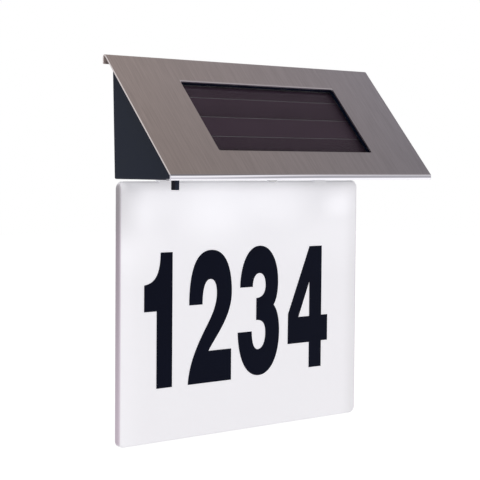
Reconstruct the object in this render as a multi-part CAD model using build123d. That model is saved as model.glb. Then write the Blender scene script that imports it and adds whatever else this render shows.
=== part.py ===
from build123d import *
import math
import os

# Solar house number light for an outside wall, built as separate pieces, in millimetres.
# X runs to the right along the wall, Y into the wall and Z up. Y = 0 is the wall's face. The origin is
# midway between the two wall screws.

# ------------------------------------------------------------------ roof: one bent sheet of steel
roof_width = 200.0
roof_depth = 53.95  # level distance from the rear lip's face to the front face
roof_drop = 63.7  # height of the rear edge over the front fold, both taken as sharp corners
roof_above_screws = 32.2  # rear edge above the wall screws
roof_wall_gap = 0.2  # rear lip's face to the wall
sheet = 0.8
rear_lip = 7.1
rear_bend = 1.3  # outer radius at the rear edge
front_bend = 1.0  # outer radius of the front fold and of the return under it
front_face = 2.8  # height of the upright front face
front_return = 3.5  # depth of the return under the front face

window_width = 117.8
window_height = 47.8  # measured down the slope
window_from_ridge = 19.2
window_shift = 1.1  # the window lies a little to the right of the middle
window_corner = 1.0

# ------------------------------------------------------------------ black wedge under the roof
housing_width = 183.3  # at its floor
housing_draft = 1.5  # degrees by which the side walls lean out towards the top
floor_above_return = 0.05
wall = 2.0
deck = 1.8
tape = 0.3  # bonding tape between the roof and the deck
tape_width = 12.0
tape_margin = 2.5
lip_clearance = 0.3
edge_round = 1.0
deck_window_margin = 0.5  # the deck's window is this much larger all round

# ------------------------------------------------------------------ cover towards the wall
cover = 2.5
cover_clearance = 0.25
gasket = 1.0
gasket_width = 1.7
ledge_width = 2.2
ledge_depth = 2.0
cover_screw_from_side = 8.0
cover_screw_from_edge = 6.0
cover_screw_length = 7.0
cover_screw_room = 0.4  # wider holes in the cover let the screws find their bosses

screw_spacing = 100.0  # between the two wall screws
keyhole_entry = 9.0  # diameter that a wall screw's head passes
keyhole_slot = 4.5  # width that holds the screw's shank
keyhole_drop = 8.0  # from the screw's seat down to the entry's centre
pocket_depth = 6.0
pocket_wall = 1.2
pocket_margin = 1.5

# ------------------------------------------------------------------ milky plate and its tabs
plate_width = 183.4
plate_height = 140.2
plate_thickness = 3.5
plate_wall_gap = 0.5
plate_gap = 1.15  # between the wedge's floor and the plate
plate_corner = 4.0
plate_front_round = 1.2
plate_rear_chamfer = 0.4
tab_width = 9.6
tab_height = 10.0
tab_offset = 59.3  # tab centre to the middle of the plate
tab_corner = 1.5
tab_clearance = 0.25
tab_screw_up = 5.8  # tab screw above the plate's top edge
tab_screw_length = 7.0

# ------------------------------------------------------------------ stick-on digits
digit_height = 72.9
digit_film = 0.25
digit_up = 29.3  # base line above the plate's lower edge
digit_1_centre = -64.9  # they are stuck on by hand, so not quite evenly
digit_2_centre = -27.4
digit_3_centre = 9.9
digit_4_centre = 49.9
digit_3_lift = 0.6
digit_4_lift = 1.4

# ------------------------------------------------------------------ solar panel under the window
glass = 2.0
glass_side_overlap = 3.6  # how far the glass runs on behind the window's edges
glass_top_overlap = 2.4
glass_bottom_overlap = 0.7
glass_front_clearance = 0.55  # from the glass's lower edge to the wedge's front wall
cell_film = 0.2
cell_margin = 1.2
cell_pitch = 13.55
cell_line = 0.5  # bare line between two strips
panel_backing = 0.6
foam = 0.3  # pressed thickness of the foam frame on the glass
foam_margin = 1.0
foam_lower_margin = 0.5
retainer = 1.8
retainer_rim = 6.0
retainer_ear = 8.0
retainer_screw_inset = 8.0

# ------------------------------------------------------------------ boards, lamps and switch
board = 1.6
board_width = 66.0
board_depth = 16.0
board_side_gap = 7.6  # to the wedge's left wall
board_led_gap = 2.5  # to the lamp board
board_height = 4.6  # above the floor's inner face
board_screw_inset = 3.5

switch_from_board = 12.8  # from the board's left end to the middle of the knob's travel
switch_y = -23.4
switch_length = 8.6
switch_depth = 4.6
switch_height = 4.2
switch_skin = 0.5
knob_width = 2.8
knob_depth = 3.2
knob_below_floor = 5.5
knob_travel = 2.0
knob_clearance = 0.2
knob_round = 0.3

led_diameter = 3.0
led_count = 4
led_hole_clearance = 0.2
led_flange = 3.8
led_flange_height = 1.0
led_recess = 0.3  # lamp tips inside the floor's underside
led_board = 1.2
led_board_side_gap = 7.6  # to the wedge's side walls
led_from_end = 7.0
led_board_rear_gap = 1.2  # to the bosses of the plate's screws
led_board_depth = 5.0
led_board_height = 3.6

chip_length = 5.0
chip_width = 4.0
chip_height = 1.5
chip_leg = 0.5
chip_leg_height = 0.4
chip_leg_reach = 1.0
chip_legs = 4
chip_from_board = 36.5  # each from the board's left end
coil_diameter = 6.4
coil_waist = 4.8
coil_height = 5.4
coil_flange = 1.0
coil_from_board = 25.0
can_diameter = 5.0
can_height = 8.0
can_rim = 0.4
can_from_board = 47.5

# ------------------------------------------------------------------ battery bay
cell_diameter = 14.3
cell_length = 49.0
cell_nub_diameter = 5.5
cell_nub = 1.2
bay_left = 5.0
bay_spring_room = 6.9
bay_width = 15.4
bay_wall = 1.2
cell_to_panel = 1.0  # from the battery to the solar panel's frame
cell_chamfer = 0.8
bay_height = 8.0
cell_above_floor = 0.4
contact = 0.4
contact_width = 8.0
door = 1.0
door_margin = 2.0
door_clearance = 0.2
door_tail = 10.6  # length of the door's screw end beyond the bay
door_rib = 0.8
door_screw_from_bay = 8.5
door_screw_length = 7.0

# ------------------------------------------------------------------ sleeved wires, two to a pair
wire_diameter = 1.0
wire_sides = 6
wire_pitch = 1.6
wire_arch = 2.0  # rise over the board before a wire turns level
wire_inset = 1.5  # from a board's edge to a soldered end
wire_above_bay = 1.25
wire_beside_bay = 0.9
panel_wire_leg = 3.0  # straight stretch away from the solar panel
panel_wire_from_board = 30.6  # each from the board's left end
panel_wire_up = 6.0  # from the middle of the panel towards the ridge
battery_wire_from_board = 58.0
lamp_wire_from_board = 42.0

# ------------------------------------------------------------------ screws
screw_shank = 2.8
screw_clearance = 0.1
screw_head = 5.6
screw_head_height = 1.6
screw_boss = 6.6
small_shank = 2.0
small_head = 3.8
small_head_height = 1.3
small_boss = 4.6
cross_width = 0.8
small_sides = 16  # flat facets round small holes and posts
screw_sides = 12

# ------------------------------------------------------------------ places worked out from the sizes
slope = math.atan2(roof_drop, roof_depth)
ridge_y = -roof_wall_gap
ridge_z = roof_above_screws
fold_y = ridge_y - roof_depth
fold_z = ridge_z - roof_drop
return_z = fold_z - front_face
lip_bottom = ridge_z - rear_lip
floor_z = return_z + floor_above_return
floor_top = floor_z + wall
deck_depth = sheet + tape
cavity_depth = deck_depth + deck
glass_width = window_width + 2 * glass_side_overlap
glass_height = window_height + glass_top_overlap + glass_bottom_overlap
glass_from_ridge = window_from_ridge - glass_top_overlap
glass_end = glass_from_ridge + glass_height
glass_front = ridge_y - glass_end * math.cos(slope) + cavity_depth * math.sin(slope)
cavity_front = glass_front - glass_front_clearance
housing_depth = wall - cavity_front
plate_top = floor_z - plate_gap
plate_bottom = plate_top - plate_height
plate_rear = -plate_wall_gap
plate_front = plate_rear - plate_thickness
tab_top = plate_top + tab_height
rail_front = plate_front - wall
shelf_bottom = tab_top + tab_clearance
shelf_top = shelf_bottom + wall
opening_top = lip_bottom - lip_clearance - wall
cover_seat = -cover - gasket
glass_depth = cavity_depth + foam
backing_depth = glass_depth + glass + cell_film
retainer_depth = backing_depth + panel_backing
panel_middle = glass_from_ridge + glass_height / 2
window_middle = window_from_ridge + window_height / 2
tab_boss_front = rail_front - wall
led_y = tab_boss_front - led_board_rear_gap - led_board_depth / 2
led_board_length = housing_width - 2 * (wall + led_board_side_gap)
led_reach = led_board_length / 2 - led_from_end
led_pitch = 2 * led_reach / (led_count - 1)
led_board_screw_x = led_reach - led_pitch / 2
board_left = wall + board_side_gap - housing_width / 2
board_rear = led_y - led_board_depth / 2 - board_led_gap
board_bottom = floor_top + board_height
switch_x = board_left + switch_from_board
led_board_bottom = floor_top + led_board_height
bay_length = bay_spring_room + cell_length + cell_nub + contact
bay_right = bay_left + bay_length
cell_axis_z = floor_top + cell_above_floor + cell_diameter / 2
door_screw_x = bay_left - door_screw_from_bay

cell_depth = retainer_depth + retainer + cell_to_panel + cell_diameter / 2
bay_y = ridge_y - (ridge_z - cell_depth / math.cos(slope) - cell_axis_z) / math.tan(slope)

slope_frame = Plane(
    origin=(0, ridge_y, ridge_z),
    x_dir=(1, 0, 0),
    z_dir=(0, -math.sin(slope), math.cos(slope)),
)


def slope_z(y, depth):
    """Height, at the wall distance y, of the plane that lies depth under the roof's outer face."""
    return ridge_z - (ridge_y - y) * math.tan(slope) - depth / math.cos(slope)


def on_slope(shape, x, down, depth):
    """Lay a flat piece, drawn with its upper face at Z = 0, on the slope, depth under the roof's face."""
    return slope_frame.location * (Pos(x, -down, -depth) * shape)


def half_width(z, inset):
    """Half the wedge's width at the height z, inset from its leaning side walls."""
    return housing_width / 2 + (z - floor_z) * math.tan(math.radians(housing_draft)) - inset


def prism_x(points, width):
    """Draw a closed outline of (y, z) points out along X, half to each side."""
    return extrude(Plane.YZ * make_face(Polyline(*points, close=True)), amount=width / 2, both=True)


def prism_y(points, front, rear):
    """Draw a closed outline of (x, z) points out along Y between two wall distances."""
    plane = Plane(origin=(0, rear, 0), x_dir=(1, 0, 0), z_dir=(0, -1, 0))
    return extrude(plane * make_face(Polyline(*points, close=True)), amount=rear - front)


def block(x_from, x_to, y_from, y_to, z_from, z_to):
    """A straight block between six coordinates."""
    size = (x_to - x_from, y_to - y_from, z_to - z_from)
    centre = ((x_from + x_to) / 2, (y_from + y_to) / 2, (z_from + z_to) / 2)
    return Pos(*centre) * Box(*size)


def plate_flat(width, height, thickness, corner):
    """A flat plate with its upper face at Z = 0 and, if corner isn't 0, round corners."""
    outline = RectangleRounded(width, height, corner) if corner else Rectangle(width, height)
    return extrude(outline, amount=-thickness)


def turned(rings, sides):
    """A small turned piece with flat facets, through rings of (radius, height), the lowest first."""
    facet = math.cos(math.pi / sides)
    piece = Part()
    for (low_radius, low), (high_radius, high) in zip(rings, rings[1:]):
        if low != high:
            step = abs(high_radius - low_radius) * facet
            lean = math.degrees(math.atan2(step, high - low))
            foot = RegularPolygon(max(low_radius, high_radius), sides)
            stretch = extrude(foot, amount=high - low, taper=lean)
            upside_down = Pos(0, 0, high) * Rot(180, 0, 0)
            piece += (upside_down if high_radius > low_radius else Pos(0, 0, low)) * stretch
    return piece


def rod(diameter, length):
    """A small round rod with flat facets that stands on Z = 0."""
    return extrude(RegularPolygon(diameter / 2, small_sides), amount=length)


def post(x, y, z_from, z_to, diameter):
    """An upright rod."""
    return Pos(x, y, z_from) * rod(diameter, z_to - z_from)


def bar(x, z, front, rear, diameter):
    """A rod along Y."""
    return Pos(x, rear, z) * Rot(90, 0, 0) * rod(diameter, rear - front)


def tapered(bottom, top, inset):
    """The wedge's rear outline between two heights, inset from its leaning sides."""
    low = half_width(bottom, inset)
    high = half_width(top, inset)
    return [(-low, bottom), (low, bottom), (high, top), (-high, top)]


def wedge(front, rear, bottom, depth, inset):
    """The space under the plane that lies depth under the roof, between two wall distances."""
    side = [(rear, bottom), (front, bottom), (front, slope_z(front, depth)), (rear, slope_z(rear, depth))]
    tall = tapered(bottom, slope_z(rear, depth), inset)
    return prism_x(side, 2 * housing_width) & prism_y(tall, front, rear)


def pan_screw(shank, head, head_height, length):
    """A pan head screw that points down, with the head's underside at Z = 0."""
    cap = turned([(head / 2, 0), (head / 2, head_height * 0.45), (head * 0.36, head_height)], screw_sides)
    stem = turned([(shank / 6, -length), (shank / 2, shank / 2 - length), (shank / 2, 0)], screw_sides)
    return cap + stem


def flat_screw(shank, head, length):
    """A countersunk screw that points down, with its flat top at Z = 0."""
    sink = (head - shank) / 2
    return turned([(shank / 6, -length), (shank / 2, shank / 2 - length), (shank / 2, -sink), (head / 2, 0)],
                  screw_sides)


def with_cross(screw, head, top, depth):
    """Cut a cross into the top of a screw's head."""
    for turn in (0, 90):
        screw -= Pos(0, 0, top) * Rot(0, 0, turn) * Box(head / 2, cross_width, 2 * depth)
    return screw


def point_forward(piece, x, y, z):
    """Turn a piece that points down so that it points away from the wall, and place it."""
    return Pos(x, y, z) * Rot(-90, 0, 0) * piece


# ------------------------------------------------------------------ roof
def offset_corner(before, corner, after, distance):
    """The corner of an outline of (y, z) points, moved in by a sheet's thickness."""
    first = (Vector(*corner) - Vector(*before)).normalized()
    second = (Vector(*after) - Vector(*corner)).normalized()
    inward_first = Vector(-first.Y, first.X)
    inward_second = Vector(-second.Y, second.X)
    half = inward_first + inward_second
    shift = half * (distance / half.dot(inward_first))
    return (corner[0] + shift.X, corner[1] + shift.Y)


def make_roof_sheet():
    lip_end = (ridge_y, lip_bottom)
    ridge = (ridge_y, ridge_z)
    fold = (fold_y, fold_z)
    foot = (fold_y, return_z)
    return_end = (fold_y + front_return, return_z)
    return_end_inside = (fold_y + front_return, return_z + sheet)
    foot_inside = offset_corner(fold, foot, return_end, sheet)
    fold_inside = offset_corner(ridge, fold, foot, sheet)
    ridge_inside = offset_corner(lip_end, ridge, fold, sheet)
    lip_end_inside = (ridge_y - sheet, lip_bottom)
    outside = FilletPolyline(lip_end, ridge, fold, foot, return_end,
                             radius=[rear_bend, front_bend, front_bend])
    inside = FilletPolyline(return_end_inside, foot_inside, fold_inside, ridge_inside, lip_end_inside,
                            radius=[front_bend - sheet, front_bend - sheet, rear_bend - sheet])
    ends = [Line(return_end, return_end_inside), Line(lip_end_inside, lip_end)]
    section = make_face(outside.edges() + inside.edges() + ends)
    bent = extrude(Plane.YZ * section, amount=roof_width / 2, both=True)
    hole = plate_flat(window_width, window_height, 2 * sheet, window_corner)
    return bent - on_slope(hole, window_shift, window_middle, -sheet / 2)


def deck_outline(margin):
    """First and last distance down the slope, and half width, of the deck less a margin."""
    top = (lip_clearance + sheet + deck_depth * math.sin(slope)) / math.cos(slope)
    bottom = (housing_depth - roof_wall_gap + deck_depth * math.sin(slope)) / math.cos(slope)
    return top + margin, bottom - margin, housing_width / 2 - margin


def make_roof_tape():
    top, bottom, half = deck_outline(tape_margin)
    strip = plate_flat(2 * half, bottom - top, tape, 0)
    hole_width = 2 * half - 2 * tape_width
    hole_height = window_height + 2 * deck_window_margin + tape
    hole = Pos(0, 0, tape / 2) * plate_flat(hole_width, hole_height, 2 * tape, 0)
    frame = on_slope(strip, 0, (top + bottom) / 2, sheet)
    return frame - on_slope(hole, 0, window_middle, sheet)


# ------------------------------------------------------------------ wedge housing
def cover_screw_places():
    """X and Z of the four cover screws."""
    places = []
    for side in (-1, 1):
        x = side * (housing_width / 2 - cover_screw_from_side)
        for z in (shelf_top + cover_screw_from_edge, opening_top - cover_screw_from_edge):
            places.append((x, z))
    return places


def retainer_screw_places():
    """X and distance down the slope of the four screws that hold the solar panel."""
    places = []
    for side in (-1, 1):
        x = window_shift + side * (glass_width / 2 + retainer_ear / 2)
        for end in (-1, 1):
            places.append((x, panel_middle + end * (glass_height / 2 - retainer_screw_inset)))
    return places


def board_screw_places():
    """X and Y of the two screws of the circuit board."""
    first = (board_left + board_screw_inset, board_rear - board_depth + board_screw_inset)
    last = (board_left + board_width - board_screw_inset, board_rear - board_screw_inset)
    return [first, last]


def led_places():
    """X of each lamp."""
    return [order * led_pitch - led_reach for order in range(led_count)]


def door_outline(margin):
    """The battery door's four sides, grown by a margin."""
    left = bay_left - door_tail - margin
    right = bay_right + door_margin + margin
    half = bay_width / 2 + door_margin + margin
    return left, right, bay_y - half, bay_y + half


def make_housing():
    outside = wedge(-housing_depth, 0, floor_z, deck_depth, 0)
    front_edges = outside.edges().filter_by_position(Axis.Y, -housing_depth - 0.01, -housing_depth + 0.01)
    floor_edges = outside.edges().filter_by_position(Axis.Z, floor_z - 0.01, floor_z + 0.01)
    rounded = front_edges.sort_by(Axis.Z)[:-1] + floor_edges.filter_by(Axis.Y)
    outside = fillet(rounded, edge_round)
    lip_face = ridge_y - sheet - lip_clearance
    reach = housing_width
    outside -= block(-reach, reach, lip_face, wall, lip_bottom - lip_clearance, ridge_z + reach)
    under_bend = outside.edges().filter_by(Axis.X).sort_by(Axis.Z)[-1]
    outside = fillet(under_bend, rear_bend - sheet)

    cavity = wedge(cavity_front, rail_front, floor_top, cavity_depth, wall)
    cavity += wedge(cavity_front, cover_seat - ledge_depth, shelf_top, cavity_depth, wall)
    throat = tapered(shelf_top + ledge_width, opening_top - ledge_width, wall + ledge_width)
    cavity += prism_y(throat, cover_seat - ledge_depth, cover_seat)
    cavity += prism_y(tapered(shelf_top, opening_top, wall), cover_seat, wall)
    cavity += prism_y(tapered(floor_top, shelf_bottom, wall), plate_front, wall)
    shell = outside - cavity

    for x, z in cover_screw_places():
        shell += bar(x, z, -housing_depth, -cover, screw_boss) & outside
    for side in (-1, 1):
        x = side * tab_offset
        shell += bar(x, plate_top + tab_screw_up, tab_boss_front, plate_front, screw_boss)
    for x, y in board_screw_places():
        shell += post(x, y, floor_z + wall / 2, board_bottom, small_boss)
    for side in (-1, 1):
        x = side * led_board_screw_x
        shell += post(x, led_y, floor_z + wall / 2, led_board_bottom, small_boss)
    shell += post(door_screw_x, bay_y, floor_z + wall / 2, floor_top + bay_height, screw_boss)
    boss_height = retainer_depth - cavity_depth
    for x, down in retainer_screw_places():
        peg = Pos(0, 0, -boss_height) * rod(small_boss, boss_height)
        shell += on_slope(peg, x, down, cavity_depth)
    half = bay_width / 2
    bay = block(bay_left - bay_wall, bay_right + bay_wall, bay_y - half - bay_wall, bay_y + half + bay_wall,
                floor_z + wall / 2, floor_top + bay_height)
    shell += bay
    shell -= block(bay_left, bay_right, bay_y - half, bay_y + half, floor_z - wall, floor_top + 2 * bay_height)
    left, right, front, rear = door_outline(door_clearance)
    shell -= block(left, right, front, rear, floor_z - wall, floor_z + door)

    for x, z in cover_screw_places():
        bore_end = -screw_head_height - cover_screw_length - 2 * screw_clearance
        shell -= bar(x, z, bore_end, 0, screw_shank + 2 * screw_clearance)
    for side in (-1, 1):
        x = side * tab_offset
        hole = screw_shank + 2 * screw_clearance
        shell -= bar(x, plate_top + tab_screw_up, tab_boss_front - wall, 0, hole)
        tab_half = tab_width / 2 + tab_clearance
        shell -= block(x - tab_half, x + tab_half, plate_front, wall, floor_z - wall, shelf_bottom)
    for x, y in board_screw_places():
        shell -= post(x, y, floor_top, board_bottom + wall, small_shank + 2 * screw_clearance)
    for side in (-1, 1):
        x = side * led_board_screw_x
        shell -= post(x, led_y, floor_top, led_board_bottom + wall, small_shank + 2 * screw_clearance)
    shell -= post(door_screw_x, bay_y, floor_z - wall, floor_top + bay_height - wall,
                  screw_shank + 2 * screw_clearance)
    for x, down in retainer_screw_places():
        bore = Pos(0, 0, -boss_height) * rod(small_shank + 2 * screw_clearance, boss_height)
        shell -= on_slope(bore, x, down, cavity_depth)
    for x in led_places():
        shell -= post(x, led_y, floor_z - wall, floor_top + wall, led_diameter + 2 * led_hole_clearance)
    slot_half = (knob_width + knob_travel) / 2 + knob_clearance
    slot_deep = knob_depth / 2 + knob_clearance
    shell -= block(switch_x - slot_half, switch_x + slot_half, switch_y - slot_deep, switch_y + slot_deep,
                   floor_z - wall, floor_top + wall)
    light = plate_flat(window_width + 2 * deck_window_margin, window_height + 2 * deck_window_margin,
                       3 * deck, window_corner)
    shell -= on_slope(light, window_shift, window_middle, deck_depth - deck)
    return shell


# ------------------------------------------------------------------ cover, gasket and their screws
def keyhole(depth_from, depth_to):
    """One keyhole: a round entry and a narrower slot that runs up to the screw's seat at Z = 0."""
    slot = SlotCenterToCenter(keyhole_drop, keyhole_slot)
    slot = Pos(0, -keyhole_drop / 2) * Rot(0, 0, 90) * slot
    entry = Pos(0, -keyhole_drop) * Circle(keyhole_entry / 2)
    plane = Plane(origin=(0, depth_to, 0), x_dir=(1, 0, 0), z_dir=(0, -1, 0))
    return extrude(plane * (slot + entry), amount=depth_to - depth_from)


def make_back_cover():
    edge = wall + cover_clearance
    outline = tapered(shelf_top + cover_clearance, opening_top - cover_clearance, edge)
    lid = prism_y(outline, -cover, 0)
    inner_width = keyhole_entry + 2 * pocket_margin
    inner_height = keyhole_drop + (keyhole_entry + keyhole_slot) / 2 + 2 * pocket_margin
    middle = (keyhole_slot - keyhole_entry) / 4 - keyhole_drop / 2
    plane = Plane(origin=(0, -cover, middle), x_dir=(1, 0, 0), z_dir=(0, -1, 0))
    inner = Rectangle(inner_width, inner_height)
    outer = Rectangle(inner_width + 2 * pocket_wall, inner_height + 2 * pocket_wall)
    cup = extrude(plane * outer, amount=pocket_depth + pocket_wall) - extrude(plane * inner, amount=pocket_depth)
    for side in (-1, 1):
        place = Pos(side * screw_spacing / 2, 0, 0)
        lid += place * cup
        lid -= place * keyhole(-cover, 0)
    for x, z in cover_screw_places():
        lid -= bar(x, z, -cover, 0, screw_shank + cover_screw_room)
        lid -= bar(x, z, -screw_head_height, 0, screw_head + cover_screw_room)
    return lid


def make_back_gasket():
    gap = cover_clearance
    outer = tapered(shelf_top + gap, opening_top - gap, wall + gap)
    inset = gap + gasket_width
    inner = tapered(shelf_top + inset, opening_top - inset, wall + inset)
    return prism_y(outer, cover_seat, -cover) - prism_y(inner, cover_seat, -cover)


def make_back_cover_screws():
    screws = []
    for x, z in cover_screw_places():
        head_height = screw_head_height - screw_clearance
        screw = pan_screw(screw_shank, screw_head, head_height, cover_screw_length)
        screw = with_cross(screw, screw_head, head_height, head_height / 2)
        screws.append(point_forward(screw, x, -screw_head_height, z))
    return screws


# ------------------------------------------------------------------ milky plate
def make_light_panel():
    middle = (plate_top + plate_bottom) / 2
    plane = Plane(origin=(0, plate_rear, middle), x_dir=(1, 0, 0), z_dir=(0, -1, 0))
    panel = extrude(plane * RectangleRounded(plate_width, plate_height, plate_corner), amount=plate_thickness)
    front_face = panel.faces().sort_by(Axis.Y)[0]
    panel = fillet(front_face.edges(), plate_front_round)
    rear_face = panel.faces().sort_by(Axis.Y)[-1]
    panel = chamfer(rear_face.edges(), plate_rear_chamfer)
    root = 2 * plate_front_round
    for side in (-1, 1):
        x = side * tab_offset
        tab = block(x - tab_width / 2, x + tab_width / 2, plate_front, plate_rear, plate_top - root, tab_top)
        corners = tab.edges().filter_by(Axis.Y).group_by(Axis.Z)[-1]
        panel += fillet(corners, tab_corner)
        hole = bar(x, plate_top + tab_screw_up, plate_front, plate_rear, screw_shank + 2 * screw_clearance)
        sink = (screw_head - screw_shank) / 2 + 2 * screw_clearance
        cone = turned([(screw_shank / 2 + sink, 0), (screw_shank / 2, sink)], small_sides)
        panel -= hole
        panel -= Pos(x, plate_rear, plate_top + tab_screw_up) * Rot(90, 0, 0) * cone
    return panel


def make_panel_screws():
    screws = []
    for side in (-1, 1):
        screw = flat_screw(screw_shank, screw_head, tab_screw_length)
        screw = with_cross(screw, screw_head, 0, (screw_head - screw_shank) / 4)
        sunk = plate_rear - screw_clearance
        screws.append(point_forward(screw, side * tab_offset, sunk, plate_top + tab_screw_up))
    return screws


# ------------------------------------------------------------------ digits
# Each outline is drawn in hundredths of the digit's height, from its left edge and its base line. A pair of
# numbers is the end of a straight edge. A group of three pairs is a curve: two handles and its end.
ONE = [
    (0, 57), (0, 76.5), ((8, 77.5), (15.5, 81), (15.5, 100)), (27, 100), (27, 0), (12, 0), (12, 57),
]
TWO = [
    (1, 59.5), ((1, 88), (9, 100.3), (23, 100.3)), ((38, 100.3), (44.3, 86), (44.3, 67.5)),
    ((44.3, 48.5), (28, 35), (20.5, 24)), (44, 24), (44, 0), (0, 0),
    ((1, 16.5), (10.5, 31), (18.7, 42.8)), ((24.5, 51), (29, 58.5), (29, 67.5)),
    ((29, 74.5), (26.5, 78.3), (22.3, 78.3)), ((16.8, 78.3), (14.2, 71.7), (14.2, 59.5)),
]
THREE = [
    (2.3, 69.3), ((2.8, 87.5), (10.5, 101), (23, 101)), ((35.5, 101), (43.2, 88), (43.2, 72.5)),
    ((43.2, 65), (41.8, 58.5), (38.5, 54.3)), ((42.5, 50), (44.7, 43), (44.7, 33.5)),
    ((44.7, 13.5), (35.6, 0), (22.7, 0)), ((9.4, 0), (0.7, 13.5), (0, 34.7)), (14.8, 34.7),
    ((15, 25.5), (17.2, 20.4), (21.6, 20.4)), ((26.9, 20.4), (29.7, 26), (29.7, 33)),
    ((29.7, 40), (26.6, 43.3), (19.7, 43.3)), (19.7, 60.4),
    ((26, 60.4), (29.7, 63.7), (29.7, 70.2)), ((29.7, 76.1), (26.9, 79.7), (22.9, 79.7)),
    ((18.2, 79.7), (15.7, 75.8), (15.6, 69.3)),
]
FOUR = [
    (0.2, 44.5), (24, 97.8), (38, 97.8), (38, 41.8), (45.2, 41.8), (45.2, 21), (38, 21), (38, 0.2),
    (24.2, 0.2), (24.2, 20.7), (0, 20.7),
]
FOUR_COUNTER = [(11.7, 41.6), (24.3, 41.6), (24.2, 70)]


def digit_face(outline, scale):
    """Close an outline of straight and curved edges and fill it."""
    here = outline[0]
    edges = []
    for step in outline[1:] + outline[:1]:
        if isinstance(step[0], tuple):
            points = [here, *step]
            edges.append(Bezier(*[(x * scale, z * scale) for x, z in points]))
            here = step[-1]
        else:
            edges.append(Line((here[0] * scale, here[1] * scale), (step[0] * scale, step[1] * scale)))
            here = step
    return make_face(edges)


def make_digit(centre, lift, outline, counter):
    scale = digit_height / 100
    face = digit_face(outline, scale)
    if counter:
        face -= digit_face(counter, scale)
    width = face.bounding_box().size.X
    left = centre - width / 2
    base = plate_bottom + digit_up + lift
    plane = Plane(origin=(left, plate_front, base), x_dir=(1, 0, 0), z_dir=(0, -1, 0))
    return extrude(plane * face, amount=digit_film)


# ------------------------------------------------------------------ solar panel
def make_solar_glass():
    pane = plate_flat(glass_width, glass_height, glass, 0)
    return on_slope(pane, window_shift, panel_middle, glass_depth)


def make_solar_cells():
    strips = []
    strip_width = glass_width - 2 * cell_margin
    lowest = glass_from_ridge + glass_height - cell_margin
    highest = glass_from_ridge + cell_margin
    for row in range(math.ceil((lowest - highest) / cell_pitch)):
        bottom = lowest - row * cell_pitch
        top = max(bottom - cell_pitch + cell_line, highest)
        strip = Pos(0, 0, -cell_film / 2) * Box(strip_width, bottom - top, cell_film)
        strips.append(on_slope(strip, window_shift, (top + bottom) / 2, glass_depth + glass))
    return strips


def make_solar_backing():
    coat = plate_flat(glass_width, glass_height, panel_backing, 0)
    return on_slope(coat, window_shift, panel_middle, backing_depth)


def make_solar_gasket():
    strip = plate_flat(glass_width, glass_height, foam, 0)
    hole_width = window_width + 2 * (deck_window_margin + foam_margin)
    hole_top = window_from_ridge - deck_window_margin - foam_margin
    hole_bottom = glass_end - foam_lower_margin
    hole = Pos(0, 0, foam / 2) * plate_flat(hole_width, hole_bottom - hole_top, 2 * foam, 0)
    ring = on_slope(strip, window_shift, panel_middle, cavity_depth)
    return ring - on_slope(hole, window_shift, (hole_top + hole_bottom) / 2, cavity_depth)


def make_retainer():
    width = glass_width + 2 * retainer_ear
    plate = plate_flat(width, glass_height - 2 * cell_margin, retainer, 0)
    hole = Pos(0, 0, retainer / 2) * plate_flat(
        glass_width - 2 * retainer_rim, glass_height - 2 * retainer_rim, 2 * retainer, 0)
    frame = on_slope(plate - hole, window_shift, panel_middle, retainer_depth)
    for x, down in retainer_screw_places():
        bore = Pos(0, 0, -retainer) * rod(small_shank + 2 * screw_clearance, retainer)
        frame -= on_slope(bore, x, down, retainer_depth)
    return frame


def make_retainer_screws():
    screws = []
    for x, down in retainer_screw_places():
        length = retainer + retainer_depth - cavity_depth - screw_clearance
        screw = Rot(180, 0, 0) * pan_screw(small_shank, small_head, small_head_height, length)
        screws.append(on_slope(screw, x, down, retainer_depth + retainer))
    return screws


# ------------------------------------------------------------------ circuit board and its parts
def make_circuit_board():
    front = board_rear - board_depth
    plate = block(board_left, board_left + board_width, front, board_rear, board_bottom, board_bottom + board)
    for x, y in board_screw_places():
        plate -= post(x, y, board_bottom, board_bottom + board, small_shank + 2 * screw_clearance)
    return plate


def make_board_screws():
    screws = []
    for x, y in board_screw_places():
        length = board + board_height - screw_clearance
        screw = pan_screw(small_shank, small_head, small_head_height, length)
        screws.append(Pos(x, y, board_bottom + board) * screw)
    return screws


def make_driver_chip():
    top = board_bottom + board
    x = board_left + chip_from_board
    y = board_rear - board_depth / 2
    half = chip_length / 2
    chip = block(x - half, x + half, y - chip_width / 2, y + chip_width / 2, top, top + chip_height)
    reach = chip_width / 2 + chip_leg_reach
    pitch = (chip_length - 2 * chip_leg) / (chip_legs - 1)
    for place in range(chip_legs):
        leg_left = x - half + chip_leg / 2 + place * pitch
        chip += block(leg_left, leg_left + chip_leg, y - reach, y + reach, top, top + chip_leg_height)
    return chip


def make_choke_coil():
    rim = coil_diameter / 2
    waist = coil_waist / 2
    slant = rim - waist
    spool = turned([(rim, 0), (rim, coil_flange), (waist, coil_flange + slant),
                    (waist, coil_height - coil_flange - slant), (rim, coil_height - coil_flange),
                    (rim, coil_height)], small_sides)
    return Pos(board_left + coil_from_board, board_rear - board_depth / 2, board_bottom + board) * spool


def make_capacitor():
    radius = can_diameter / 2
    can = turned([(radius, 0), (radius, can_height - can_rim), (radius - can_rim, can_height)], small_sides)
    return Pos(board_left + can_from_board, board_rear - board_depth / 2, board_bottom + board) * can


# ------------------------------------------------------------------ slide switch
def make_switch_body():
    bottom = board_bottom - switch_height
    body = block(switch_x - switch_length / 2, switch_x + switch_length / 2, switch_y - switch_depth / 2,
                 switch_y + switch_depth / 2, bottom, board_bottom)
    half = (knob_width + knob_travel) / 2 + knob_clearance
    deep = knob_depth / 2 + knob_clearance
    return body - block(switch_x - half, switch_x + half, switch_y - deep, switch_y + deep,
                        bottom, board_bottom - switch_skin)


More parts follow.
